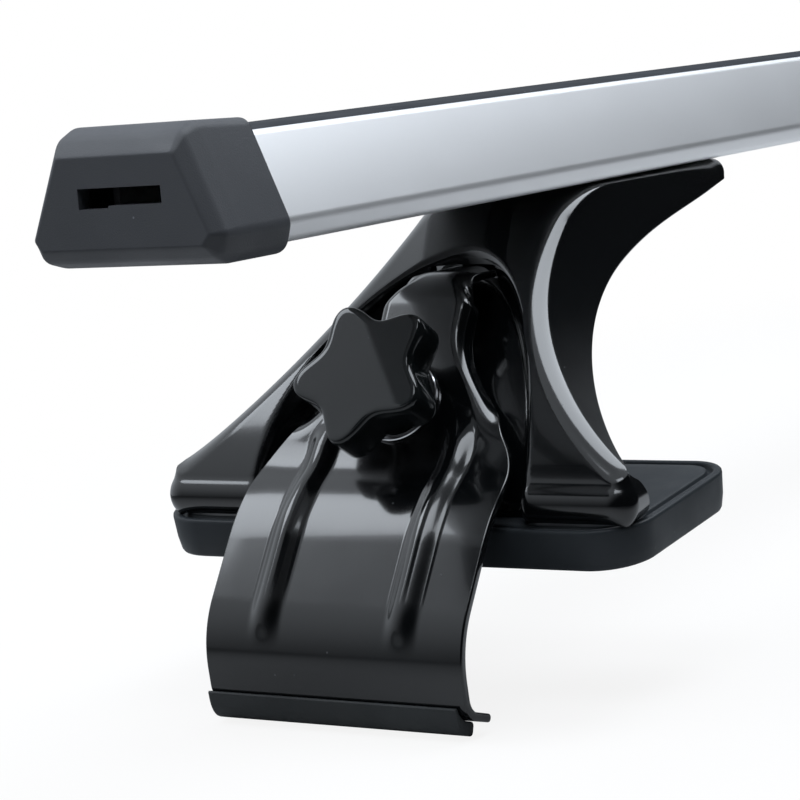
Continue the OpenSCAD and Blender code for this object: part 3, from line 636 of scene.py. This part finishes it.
# Grain is scale and height in metres; dust is scale, share of cells and colour
FINISHES = {
    "anodised_aluminium": dict(colour=(0.93, 0.93, 0.935), roughness=0.54, metallic=1.0,
                               grain=(2600.0, 0.000004), drift=0.01),
    "strip_rubber": dict(colour=(0.020, 0.023, 0.029), roughness=0.75, grain=(1800.0, 0.00003), clouds=0.25,
                         dust=(420.0, 0.05, (0.3, 0.31, 0.33)), Specular_IOR_Level=0.2),
    "cap_plastic": dict(colour=(0.066, 0.069, 0.077), roughness=0.52, grain=(2200.0, 0.00006), clouds=0.14,
                        dust=(300.0, 0.006, (0.2, 0.21, 0.23))),
    "black_paint": dict(colour=(0.002, 0.0025, 0.003), roughness=0.15, grain=(210.0, 0.000006), clouds=0.3,
                        dust=(360.0, 0.02, (0.09, 0.095, 0.1)), Coat_Weight=0.4, Coat_Roughness=0.06),
    "pad_rubber": dict(colour=(0.022, 0.026, 0.030), roughness=0.5, grain=(1700.0, 0.00003), clouds=0.2,
                       dust=(420.0, 0.04, (0.10, 0.105, 0.11)), Specular_IOR_Level=0.25),
    "sleeve_rubber": dict(colour=(0.013, 0.0155, 0.0165), roughness=0.62, grain=(1300.0, 0.00008),
                          clouds=0.3, dust=(700.0, 0.05, (0.10, 0.105, 0.11))),
    "zinc_steel": dict(colour=(0.55, 0.55, 0.53), roughness=0.34, metallic=1.0, grain=(900.0, 0.00002),
                       clouds=0.08),
    "bright_washer": dict(colour=(0.78, 0.78, 0.8), roughness=0.16, metallic=1.0, grain=(1200.0, 0.00001),
                          clouds=0.03),
    "knob_plastic": dict(colour=(0.006, 0.0075, 0.008), roughness=0.07, grain=(420.0, 0.000002), clouds=0.2,
                         dust=(520.0, 0.03, (0.11, 0.115, 0.12))),
    "insert_brass": dict(colour=(0.66, 0.49, 0.22), roughness=0.3, metallic=1.0, grain=(900.0, 0.00002),
                         clouds=0.05),
}
FINISH = {name: finish(name, **values) for name, values in FINISHES.items()}
for name, obj in frame["nodes"].items():
    slot = next(s["material_slot"] for s in frame["record"]["subparts"] if s["node"] == name)
    obj.data.materials.clear()
    obj.data.materials.append(FINISH[slot])


# Bar, strip and caps
SEAT_Z = BAR_H - STRIP_SEAT
END_IN = 8.0  # the shell stops this far inside the cap, so that the slot looks into the dark
GROOVE_TOP, GROOVE_W, GROOVE_MOUTH, GROOVE_H = SEAT_Z - 1.8, 18.0, 10.0, 4.4
STRIP_FOOT_T, CHAMBER_HALF = 2.2, 9.0
CHAMBER_LOW, CHAMBER_HIGH = BAR_WALL + TRACK_H + 2, GROOVE_TOP - GROOVE_H - 2
SIDE_IN = TRACK_W / 2 + BAR_WALL * 0.9
SLOPE_IN = (BAR_CREASE_W - BAR_TOP_W) / 2 / (BAR_H - BAR_CREASE_Z)


def side_y(z):
    return BAR_CREASE_W / 2 - (z - BAR_CREASE_Z) * SLOPE_IN - BAR_WALL * 1.1


def along_bar(outline, x0, x1, cuts=2):
    """An outline of [y, z] carried along X: rings of x, y, z in metres, standing at the bar's height."""
    x = np.linspace(x0, x1, cuts)[:, None]
    o = np.asarray(outline, float)
    return np.stack(np.broadcast_arrays(x, o[None, :, 0], o[None, :, 1] + BAR_Z), axis=-1) * MM


def bar_piece():
    """The extrusion: one outer outline with its groove and track, and three chambers, as open tubes whose
    ends are closed between outline and chambers."""
    outer = rounded(mirrored([
        (TRACK_W / 2, BAR_WALL + TRACK_H, 0.3), (TRACK_W / 2, BAR_WALL, 0.2),
        (TRACK_MOUTH / 2, BAR_WALL, 0.2), (TRACK_MOUTH / 2, 0, 0.3),
        (BAR_BASE_W / 2, 0, BAR_LOW_R), (BAR_CREASE_W / 2, BAR_CREASE_Z, BAR_LOW_R),
        (BAR_TOP_W / 2, BAR_H, BAR_TOP_R), (STRIP_W / 2 + FIT, BAR_H, 0.2),
        (STRIP_W / 2 + FIT, SEAT_Z, 0.1), (GROOVE_MOUTH / 2, SEAT_Z, 0.2),
        (GROOVE_MOUTH / 2, GROOVE_TOP, 0.2), (GROOVE_W / 2, GROOVE_TOP, 0.2),
        (GROOVE_W / 2, GROOVE_TOP - GROOVE_H, 0.2)]), 7)
    side = [(SIDE_IN, BAR_WALL, 0.5), (BAR_BASE_W / 2 - BAR_WALL, BAR_WALL, 0.8),
            (side_y(BAR_CREASE_Z), BAR_CREASE_Z, 0.8), (side_y(GROOVE_TOP), GROOVE_TOP, 0.5),
            (GROOVE_W / 2 + 2, GROOVE_TOP, 0.4), (GROOVE_W / 2 + 2, CHAMBER_LOW, 0.4),
            (SIDE_IN, CHAMBER_LOW, 0.4)]
    middle = [(-CHAMBER_HALF, CHAMBER_LOW, 0.4), (CHAMBER_HALF, CHAMBER_LOW, 0.4),
              (CHAMBER_HALF, CHAMBER_HIGH, 0.4), (-CHAMBER_HALF, CHAMBER_HIGH, 0.4)]
    other_side = [(-y, z, r) for y, z, r in side]
    loops = [outer] + [rounded(chamber, 4)[::-1] for chamber in (side, other_side, middle)]
    pts, quads, flat, near, far, start = [], [], [], [], [], 0
    for i, loop in enumerate(loops):
        area = np.sum(loop[:, 0] * np.roll(loop[:, 1], -1) - loop[:, 1] * np.roll(loop[:, 0], -1))
        if (area > 0) != (i == 0):
            loop = loop[::-1]
        count = len(loop)
        rings = along_bar(loop, -BAR_LEN / 2 + END_IN, BAR_LEN / 2 - END_IN)
        pts.append(rings.reshape(-1, 3))
        quads.append(grid_quads(2, count, start, close=True)[:, ::-1])
        flat.append(rings[0, :, 1:])
        near.append(start + np.arange(count))
        far.append(start + count + np.arange(count))
        start += 2 * count
    faces = flat_faces(flat)
    tris = np.vstack([np.concatenate(near)[faces][:, ::-1], np.concatenate(far)[faces]])
    return build("bar_shell", np.vstack(pts), np.vstack(quads), 24.0, tris)


def strip_piece():
    """The rubber strip: a crowned cap on a neck and a foot in the groove."""
    half = STRIP_W / 2
    y = np.linspace(half - 0.8, -(half - 0.8), 25)
    crown = np.stack([y, BAR_H + STRIP_CROWN * (1 - np.abs(y / half) ** 5)], axis=-1)
    neck, base = GROOVE_MOUTH / 2 - FIT, GROOVE_W / 2 - FIT
    foot_top, foot_low = GROOVE_TOP - FIT, GROOVE_TOP - STRIP_FOOT_T - FIT
    foot = [(-half, BAR_H), (-half, SEAT_Z), (-neck, SEAT_Z), (-neck, foot_top), (-base, foot_top),
            (-base, foot_low), (base, foot_low), (base, foot_top), (neck, foot_top), (neck, SEAT_Z),
            (half, SEAT_Z), (half, BAR_H)]
    outline = np.vstack([crown, foot])[::-1]
    half_len = BAR_LEN / 2 - CAP_SHOWN + CAP_FACE - RUN
    rings = along_bar(outline, -half_len, half_len)
    faces = flat_faces([outline])
    tris = np.vstack([faces[:, ::-1], faces + len(outline)])
    return build("rubber_strip", rings.reshape(-1, 3), grid_quads(2, len(outline), close=True), 30.0, tris)


def cap_outline(side_top, side_low, top, low, r, r_top):
    """The bar's outline grown at its top edges, at its creases, above and below."""
    return rounded(mirrored([
        (BAR_BASE_W / 2 + side_low, -low, r), (BAR_CREASE_W / 2 + side_low, BAR_CREASE_Z, r),
        (BAR_TOP_W / 2 + side_top, BAR_H + top, r_top)]), 12)


def softened(keys, reach, steps=5):
    """A polyline of stations whose inner corners become quadratic bends that start reach before them."""
    keys = np.asarray(keys, float)
    out = [keys[:1]]
    for a, b, c in zip(keys[:-2], keys[1:-1], keys[2:]):
        p = b + (a - b) * min(reach / abs(a[0] - b[0]), 0.5)
        q = b + (c - b) * min(reach / abs(c[0] - b[0]), 0.5)
        k = np.linspace(0, 1, steps)[:, None]
        out.append((1 - k) ** 2 * p + 2 * (1 - k) * k * b + k * k * q)
    return np.vstack(out + [keys[-1:]])


# Stations of the cap from its open edge to its end face: distance from the face, then growth at the top
# edges, at the creases, above and below, and the radii of the corners and of the top ones
CAP_KEYS = [(CAP_SHOWN, 2.2, 2.2, 3.6, 2.2, 5.0, 4.0), (CAP_SHOWN - 0.4, 2.4, 2.4, 3.8, 2.4, 5.0, 4.0),
            (9.3, 2.0, 2.0, 4.6, 2.4, 5.0, 4.0), (3.8, 1.6, 1.6, 2.2, 0.6, 3.0, 3.0),
            (0.3, 0.63, -0.8, -2.3, -2.75, 1.2, 1.6), (0.0, -0.1, -1.5, -2.9, -3.4, 0.9, 1.2)]
CAP_INNER = (FIT, FIT, STRIP_CROWN + FIT, FIT, BAR_LOW_R, BAR_TOP_R)
CAP_MOUTH = (0.5, 0.5, 1.4, 0.5, BAR_LOW_R, BAR_TOP_R)
CAP_SLOT_Z, CAP_SLOT_SPLIT = 14.4, 0.36


def cap_piece(side):
    """End cap: rings along the bar that follow the shoulder, the broad chamfer and the end face with rounded
    breaks, closed by an inner wall and cut for its slot, which is higher on one part of its width."""
    outer = BAR_LEN / 2 + CAP_FACE
    mouth = outer - CAP_SHOWN
    stations = softened(CAP_KEYS, 1.1)[1:]
    stations = stations[np.concatenate([[True], np.diff(stations[:, 0]) < -0.01])]
    slice_at = lambda row, x: along_bar(cap_outline(*row), x, x, 1)[0]
    rings = [slice_at(CAP_INNER, BAR_LEN / 2), slice_at(CAP_INNER, mouth + 0.2), slice_at(CAP_MOUTH, mouth),
             slice_at(CAP_KEYS[0][1:], mouth)]
    rings += [slice_at(row[1:], outer - row[0]) for row in stations if row[0] < CAP_SHOWN - 0.3]
    middle = rings[-1].mean(0)
    rings += [middle + (rings[-1] - middle) * k for k in (0.985, 0.95)]
    pts, quads, tris = loft(rings)
    obj = build("cap_" + side, pts, quads, 28.0, tris)
    fix_normals(obj)
    z, y0 = BAR_Z + CAP_SLOT_Z, 1 - CAP_SLOT_W / 2
    split = y0 + CAP_SLOT_W * CAP_SLOT_SPLIT
    metres = lambda q: np.array(q) * MM
    x0, x1 = BAR_LEN / 2 - 1, outer + 1
    slots = [block((x0, y0, z - 0.7), (x1, split, z - 0.7 + CAP_SLOT_H), metres),
             block((x0, split - 0.1, z), (x1, y0 + CAP_SLOT_W, z + CAP_SLOT_H * 0.87), metres)]
    cut(obj, slots, sharp=28.0)
    if side == "left":
        turn_half(obj)
    return obj


def turn_half(obj):
    obj.data.transform(Matrix.Rotation(math.pi, 4, "Z"))


def fix_normals(obj):
    """Turns a closed shell's faces outwards if its signed volume is negative."""
    mesh = obj.data
    co = np.empty(len(mesh.vertices) * 3, np.float32)
    mesh.vertices.foreach_get("co", co)
    mesh.calc_loop_triangles()
    ids = np.empty(len(mesh.loop_triangles) * 3, np.int32)
    mesh.loop_triangles.foreach_get("vertices", ids)
    t = co.reshape(-1, 3)[ids.reshape(-1, 3)].astype(float)
    if np.einsum("ij,ij->i", t[:, 0], np.cross(t[:, 1], t[:, 2])).sum() < 0:
        mesh.flip_normals()


# Pieces of one side
BOSS_R, BOSS_LOW, BOSS_HIGH = 12.0, -16.2, -9.2
TRACK_HOLE_R, TRACK_HOLES = 4.25, (-38.0, 12.0)
TONGUE_GAP = 1.2


def foot_piece(side):
    p = foot_grid()
    pts, quads = sheet_mesh(p, surface_normals(p, (-1, 0, 1)), FOOT_T, 0.8)
    foot = build("foot_" + side, to_row(pts, side), quads, 40.0)
    fix_normals(foot)
    cut(foot, [rod(BOSS_R, BOSS_LOW, BOSS_HIGH, on_stud, side, 0.6)], "UNION", 40.0)
    bore = rod(STUD_D / 2 + FIT, -30.0, 6.0, on_stud, side)
    half = TONGUE_HALF + TONGUE_GAP
    slot = block((-103, -half, TONGUE_Z - HOOK_T - TONGUE_GAP), (-81, half, TONGUE_Z + 0.4),
                 lambda q: to_row(q, side))
    holes = [rod(TRACK_HOLE_R, -8.0, 5.0, lambda q, x=x: q + np.array([x, 0, 0]), side) for x in TRACK_HOLES]
    return cut(foot, [bore, slot, *holes], sharp=40.0)


def hook_piece(side):
    p = hook_grid()
    pts, quads = sheet_mesh(p, surface_normals(p, (-1, 0, 0)), HOOK_T, 0.55)
    hook = build("hook_" + side, to_row(pts, side), quads, 40.0)
    fix_normals(hook)
    a = np.linspace(0, math.pi, 25)
    r, run = (STUD_D + 1) / 2, 5.5
    near = np.stack([r * np.sin(a), r * np.cos(a)], -1)
    ring = np.concatenate([near, [-run, 0] - near])[::-1]
    rings = [np.column_stack([ring, np.full(len(ring), z)]) for z in (-HOOK_T - 3, 3.0)]
    pts, quads, tris = loft(rings)
    cutter = build("cutter", to_row(on_stud(pts), side), quads, tris=tris)
    fix_normals(cutter)
    return cut(hook, [cutter], sharp=40.0)


def sleeve_piece(side):
    pts, quads = sheet_mesh(*sleeve_surface(), 0.6)
    sleeve = build("sleeve_" + side, to_row(pts, side), quads, 45.0)
    fix_normals(sleeve)
    return sleeve


# The pad follows the photograph: lower and steeper than in the source, and a little to one side
PAD_LEAN, PAD_FRONT, PAD_TOP = PAD_TILT + 1.2, front_x(FOOT_DROP) - 4.5, -FOOT_DROP - 13.4
PAD_NARROW, PAD_SHIFT = 0.991, 1.75
PAD_BACK_R, PAD_FRONT_R = 14, 17
PAD_RINGS = ((8.0, -PAD_T), (2.6, -PAD_T), (1.7, -PAD_T + 0.35), (1.25, -PAD_T + 1.1), (0.5, -PAD_T + 5),
             (0.05, -1.2), (0.15, -0.5), (0.5, -0.12), (0.95, 0.0), (2.1, 0.0), (2.6, -0.2), (2.8, -0.6),
             (2.95, -1.5), (3.3, -1.75), (4.2, -1.75), (4.5, -1.5), (4.65, -0.6), (4.9, -0.2), (5.4, 0.0),
             (9.0, 0.0))  # inset and height


def pad_piece(side):
    """Rubber pad: rings of one rounded outline, up the outer wall, over the rim, through the groove and onto
    the flat top."""
    def ring(i, z):
        far, half, back, front = PAD_LEN - i, PAD_HALF - i, PAD_BACK_R - i, PAD_FRONT_R - i
        o = rounded([(i, -half, front), (far, -half, back), (far, half, back), (i, half, front)], 24)
        return np.column_stack([o, np.full(len(o), z)])
    pts, quads, tris = loft([ring(*row) for row in PAD_RINGS])
    a = math.radians(PAD_LEAN)
    x, z = pts[:, 0].copy(), pts[:, 2].copy()
    pts[:, 0] = x * math.cos(a) - z * math.sin(a) + PAD_FRONT
    pts[:, 2] = x * math.sin(a) + z * math.cos(a) + PAD_TOP
    pts[:, 1] = pts[:, 1] * PAD_NARROW + PAD_SHIFT
    pad = build("pad_" + side, to_row(pts, side), quads, 50.0, tris)
    fix_normals(pad)
    return pad


def star_outline(inset=0.0, count=240):
    """Five lobes: radius R*(0.855 + 0.145c - 0.02(1 - c^2)) with c the cosine of five times the angle, moved
    inwards by inset along its own normal."""
    a = np.linspace(0, 2 * math.pi, count, endpoint=False)
    c = np.cos(5 * a)
    r = KNOB_D / 2 * (0.855 + 0.145 * c - 0.02 * (1 - c * c))
    p = np.stack([r * np.cos(a), r * np.sin(a)], -1)
    along = unit(np.roll(p, -1, 0) - np.roll(p, 1, 0))
    return p - np.stack([along[:, 1], -along[:, 0]], -1) * inset


def turn_star(p):
    a = math.radians(STAR_TURN)
    return p @ np.array([[math.cos(a), math.sin(a), 0], [-math.sin(a), math.cos(a), 0], [0, 0, 1]])


BORE_R, BORE_TOP, HUB = 6.5, 19.6, HUB_D / 2
HUB_RINGS = ((0.01, BORE_TOP), (BORE_R, BORE_TOP), (BORE_R, 0.3), (BORE_R + 0.3, 0.0), (HUB - 0.6, 0.0),
             (HUB - 0.17, 0.17), (HUB, 0.6), (HUB, HUB_H - 0.8), (HUB + 0.3, HUB_H - 0.2),
             (HUB + 0.9, HUB_H))  # radius and height
STAR_BACK = ((1.6, 0.0), (0.9, 0.12), (0.42, 0.42), (0.16, 0.9), (0.05, 1.6))  # inset and height
STAR_FRONT = ((0.0, 3.2), (0.05, 1.7), (0.18, 1.05), (0.45, 0.5), (0.85, 0.2), (1.4, 0.06),
              (2.1, 0.0))  # inset and depth under the face
STAR_FACE = (0.97, 0.9, 0.6, 0.3)


def knob_piece(side):
    """Star knob: from the bore's floor out over the hub, under the star, up its side and across its face."""
    count, top = 240, HUB_H + KNOB_T
    a = np.linspace(0, 2 * math.pi, count, endpoint=False)
    circle = np.stack([np.cos(a), np.sin(a)], -1)
    lay = lambda flat, z: np.column_stack([flat, np.full(count, z)])
    rings = [lay(circle * r, z) for r, z in HUB_RINGS]
    rings += [lay(star_outline(i), HUB_H + z) for i, z in STAR_BACK]
    rings += [lay(star_outline(i), top - z) for i, z in STAR_FRONT]
    face = star_outline(STAR_FRONT[-1][0])
    rings += [lay(face * k, top) for k in STAR_FACE]
    pts, quads, tris = loft(rings)
    pts = on_stud(turn_star(pts) + np.array([0, 0, KNOB_BASE]))
    knob = build("knob_" + side, to_row(pts, side), quads, 38.0, tris)
    fix_normals(knob)
    return knob


def washer_piece(side):
    pts, quads = ring_solid(STUD_D / 2 + 0.5, WASHER_D / 2, FIT, FIT + WASHER_T)
    washer = build("washer_" + side, to_row(on_stud(pts), side), quads, 30.0)
    fix_normals(washer)
    return washer


show(bar_piece(), "bar", "anodised_aluminium", "bar_extrusion")
show(strip_piece(), "bar", "strip_rubber", "top_strip")
for side in SIDES:
    show(cap_piece(side), "bar", "cap_plastic", "end_cap_" + side)
    show(foot_piece(side), "foot_" + side, "black_paint", "foot_bracket_" + side)
    show(pad_piece(side), "foot_" + side, "pad_rubber", "roof_pad_" + side)
    show(hook_piece(side), "hook_" + side, "black_paint", "clamp_hook_" + side)
    show(sleeve_piece(side), "hook_" + side, "sleeve_rubber", "hook_sleeve_" + side)
    show(washer_piece(side), "washer_" + side, "bright_washer", "clamp_washer_" + side)
    show(knob_piece(side), "knob_" + side, "knob_plastic", "clamp_knob_" + side)


# Camera at the photograph's angle: its turn, its focal length and centre in pixels of an 800 pixel wide
# picture, and its distance from the foot in millimetres
AZ, EL, ROLL = (math.radians(v) for v in (-57.072, 7.793, -4.932))
FOCAL_PX, CENTRE_U, CENTRE_V, DISTANCE = 2699.12, 599.84, 170.65, 910.58
PICTURE, SENSOR = 800, 36.0


def add_camera():
    back = np.array([math.sin(AZ) * math.cos(EL), -math.cos(AZ) * math.cos(EL), math.sin(EL)])
    right = np.array([math.cos(AZ), math.sin(AZ), 0])
    up = np.cross(back, right)
    turn = np.array([math.cos(ROLL) * right + math.sin(ROLL) * up,
                     -math.sin(ROLL) * right + math.cos(ROLL) * up, back])
    u, v = ((centre - PICTURE / 2) / FOCAL_PX * DISTANCE for centre in (CENTRE_U, CENTRE_V))
    place = (-np.array([u, -v, -DISTANCE]) @ turn + np.array([-FOOT_X, 0, BAR_Z])) * MM
    data = bpy.data.cameras.new("photo_camera")
    data.sensor_width = SENSOR
    data.lens = FOCAL_PX / PICTURE * SENSOR
    data.clip_start, data.clip_end = 0.02, 50.0
    camera = bpy.data.objects.new("photo_camera", data)
    bpy.context.scene.collection.objects.link(camera)
    matrix = np.eye(4)
    matrix[:3, :3] = turn.T
    matrix[:3, 3] = place
    camera.matrix_world = Matrix(matrix.tolist())
    bpy.context.scene.camera = camera


# Studio
AIM = (-0.45, 0.0, 0.08)
STUDIO_TINT = (0.87, 0.93, 1.0)
ROOM_LIGHT = (90, 45)  # azimuth and height of the brightest part of the room
FLOOR_X, FLOOR_Y, FLOOR_TONE, FLOOR_GLOW = 0.95, 0.5, 0.86, 0.86


def towards(azimuth, height):
    """Unit vector at an azimuth from +X and a height above the horizon, in degrees."""
    return tuple(float(v) for v in (cosd(height) * cosd(azimuth), cosd(height) * sind(azimuth), sind(height)))


def soft_box(name, azimuth, height, away, size, glow):
    """An area lamp that stands in a direction from AIM and faces it; glow is its radiance."""
    data = bpy.data.lights.new(name, "AREA")
    data.shape, data.size, data.size_y = "RECTANGLE", size[0], size[1]
    data.energy, data.color = glow * math.pi * size[0] * size[1], STUDIO_TINT
    lamp = bpy.data.objects.new(name, data)
    bpy.context.scene.collection.objects.link(lamp)
    lamp.location = Vector(AIM) + Vector(towards(azimuth, height)) * away
    lamp.rotation_mode = "QUATERNION"
    lamp.rotation_quaternion = (Vector(AIM) - lamp.location).to_track_quat("-Z", "Y")


def smooth_range(tree, value, from_min, from_max, to_min, to_max):
    made = node(tree, "ShaderNodeMapRange", interpolation_type="SMOOTHSTEP")
    tree.links.new(value, made.inputs["Value"])
    ends = {"From Min": from_min, "From Max": from_max, "To Min": to_min, "To Max": to_max}
    for label, end in ends.items():
        made.inputs[label].default_value = end
    return made.outputs["Result"]


def add_world():
    """The room round the object: to light and reflections bright above and behind, on the camera's left,
    and dark on the other side. The camera and glass see plain white."""
    world = bpy.data.worlds.new("studio")
    bpy.context.scene.world = world
    world.use_nodes = True
    tree = world.node_tree
    background = tree.nodes["Background"]
    path = node(tree, "ShaderNodeLightPath")
    coords = node(tree, "ShaderNodeTexCoord")
    lit = node(tree, "ShaderNodeVectorMath", operation="DOT_PRODUCT")
    lit.inputs[1].default_value = towards(*ROOM_LIGHT)
    tree.links.new(coords.outputs["Generated"], lit.inputs[0])
    room = smooth_range(tree, lit.outputs["Value"], 0.05, 1.0, 0.02, 1.0)
    seen = math_node(tree, "MAXIMUM", path.outputs["Is Camera Ray"], path.outputs["Is Transmission Ray"])
    tree.links.new(math_node(tree, "MAXIMUM", seen, room), background.inputs["Strength"])
    mixed(tree, seen, STUDIO_TINT, (1, 1, 1), background.inputs["Color"])


def add_floor():
    """A pale floor under the object that fades to the white background at its edge and keeps a soft shadow.
    To the camera it is paler than to reflections and to light that bounces. To these its colour darkens from
    0.6 in the middle to 0.12 at its edge, a painted shade of a dim room round it."""
    ring = [(-FLOOR_X, -FLOOR_Y, 0), (FLOOR_X, -FLOOR_Y, 0), (FLOOR_X, FLOOR_Y, 0), (-FLOOR_X, FLOOR_Y, 0)]
    floor = build("studio_floor", np.array(ring), [(0, 1, 2, 3)])
    floor.location.z = -0.0005
    mat = bpy.data.materials.new("pale_floor")
    mat.use_nodes = True
    tree = mat.node_tree
    shader = tree.nodes["Principled BSDF"]
    shader.inputs["Roughness"].default_value = 0.9
    shader.inputs["Specular IOR Level"].default_value = 0.0
    camera = node(tree, "ShaderNodeLightPath").outputs["Is Camera Ray"]
    scale = node(tree, "ShaderNodeVectorMath", operation="MULTIPLY")
    scale.inputs[1].default_value = (1 / FLOOR_X, 1 / FLOOR_Y, 0)
    tree.links.new(object_coords(tree), scale.inputs[0])
    length = node(tree, "ShaderNodeVectorMath", operation="LENGTH")
    tree.links.new(scale.outputs["Vector"], length.inputs[0])
    out = length.outputs["Value"]
    # Painted shade: to reflections and bounced light the floor darkens from 0.6 in the middle to 0.12 at its
    # edge
    bounced_painted_shade = mixed(tree, camera, (1, 1, 1), (FLOOR_TONE,) * 3, shader.inputs["Base Color"])
    tree.links.new(smooth_range(tree, out, 0.5, 0.95, 0.6, 0.12), bounced_painted_shade)
    fade = smooth_range(tree, out, 0.45, 0.95, FLOOR_GLOW, 1.0)
    mix = node(tree, "ShaderNodeMixShader")
    tree.links.new(math_node(tree, "MULTIPLY", fade, camera), mix.inputs["Fac"])
    tree.links.new(shader.outputs["BSDF"], mix.inputs[1])
    tree.links.new(node(tree, "ShaderNodeEmission").outputs["Emission"], mix.inputs[2])
    tree.links.new(mix.outputs["Shader"], tree.nodes["Material Output"].inputs["Surface"])
    floor.data.materials.append(mat)


add_camera()
add_world()
add_floor()
soft_box("key_box", -32, 60, 1.5, (0.72, 1.35), 5.0)
soft_box("left_box", 113, 49, 1.5, (0.6, 0.52), 5.0)
soft_box("camera_side_box", -151, 61, 1.5, (0.72, 0.55), 5.0)

bpy.context.scene.view_settings.view_transform = "Standard"
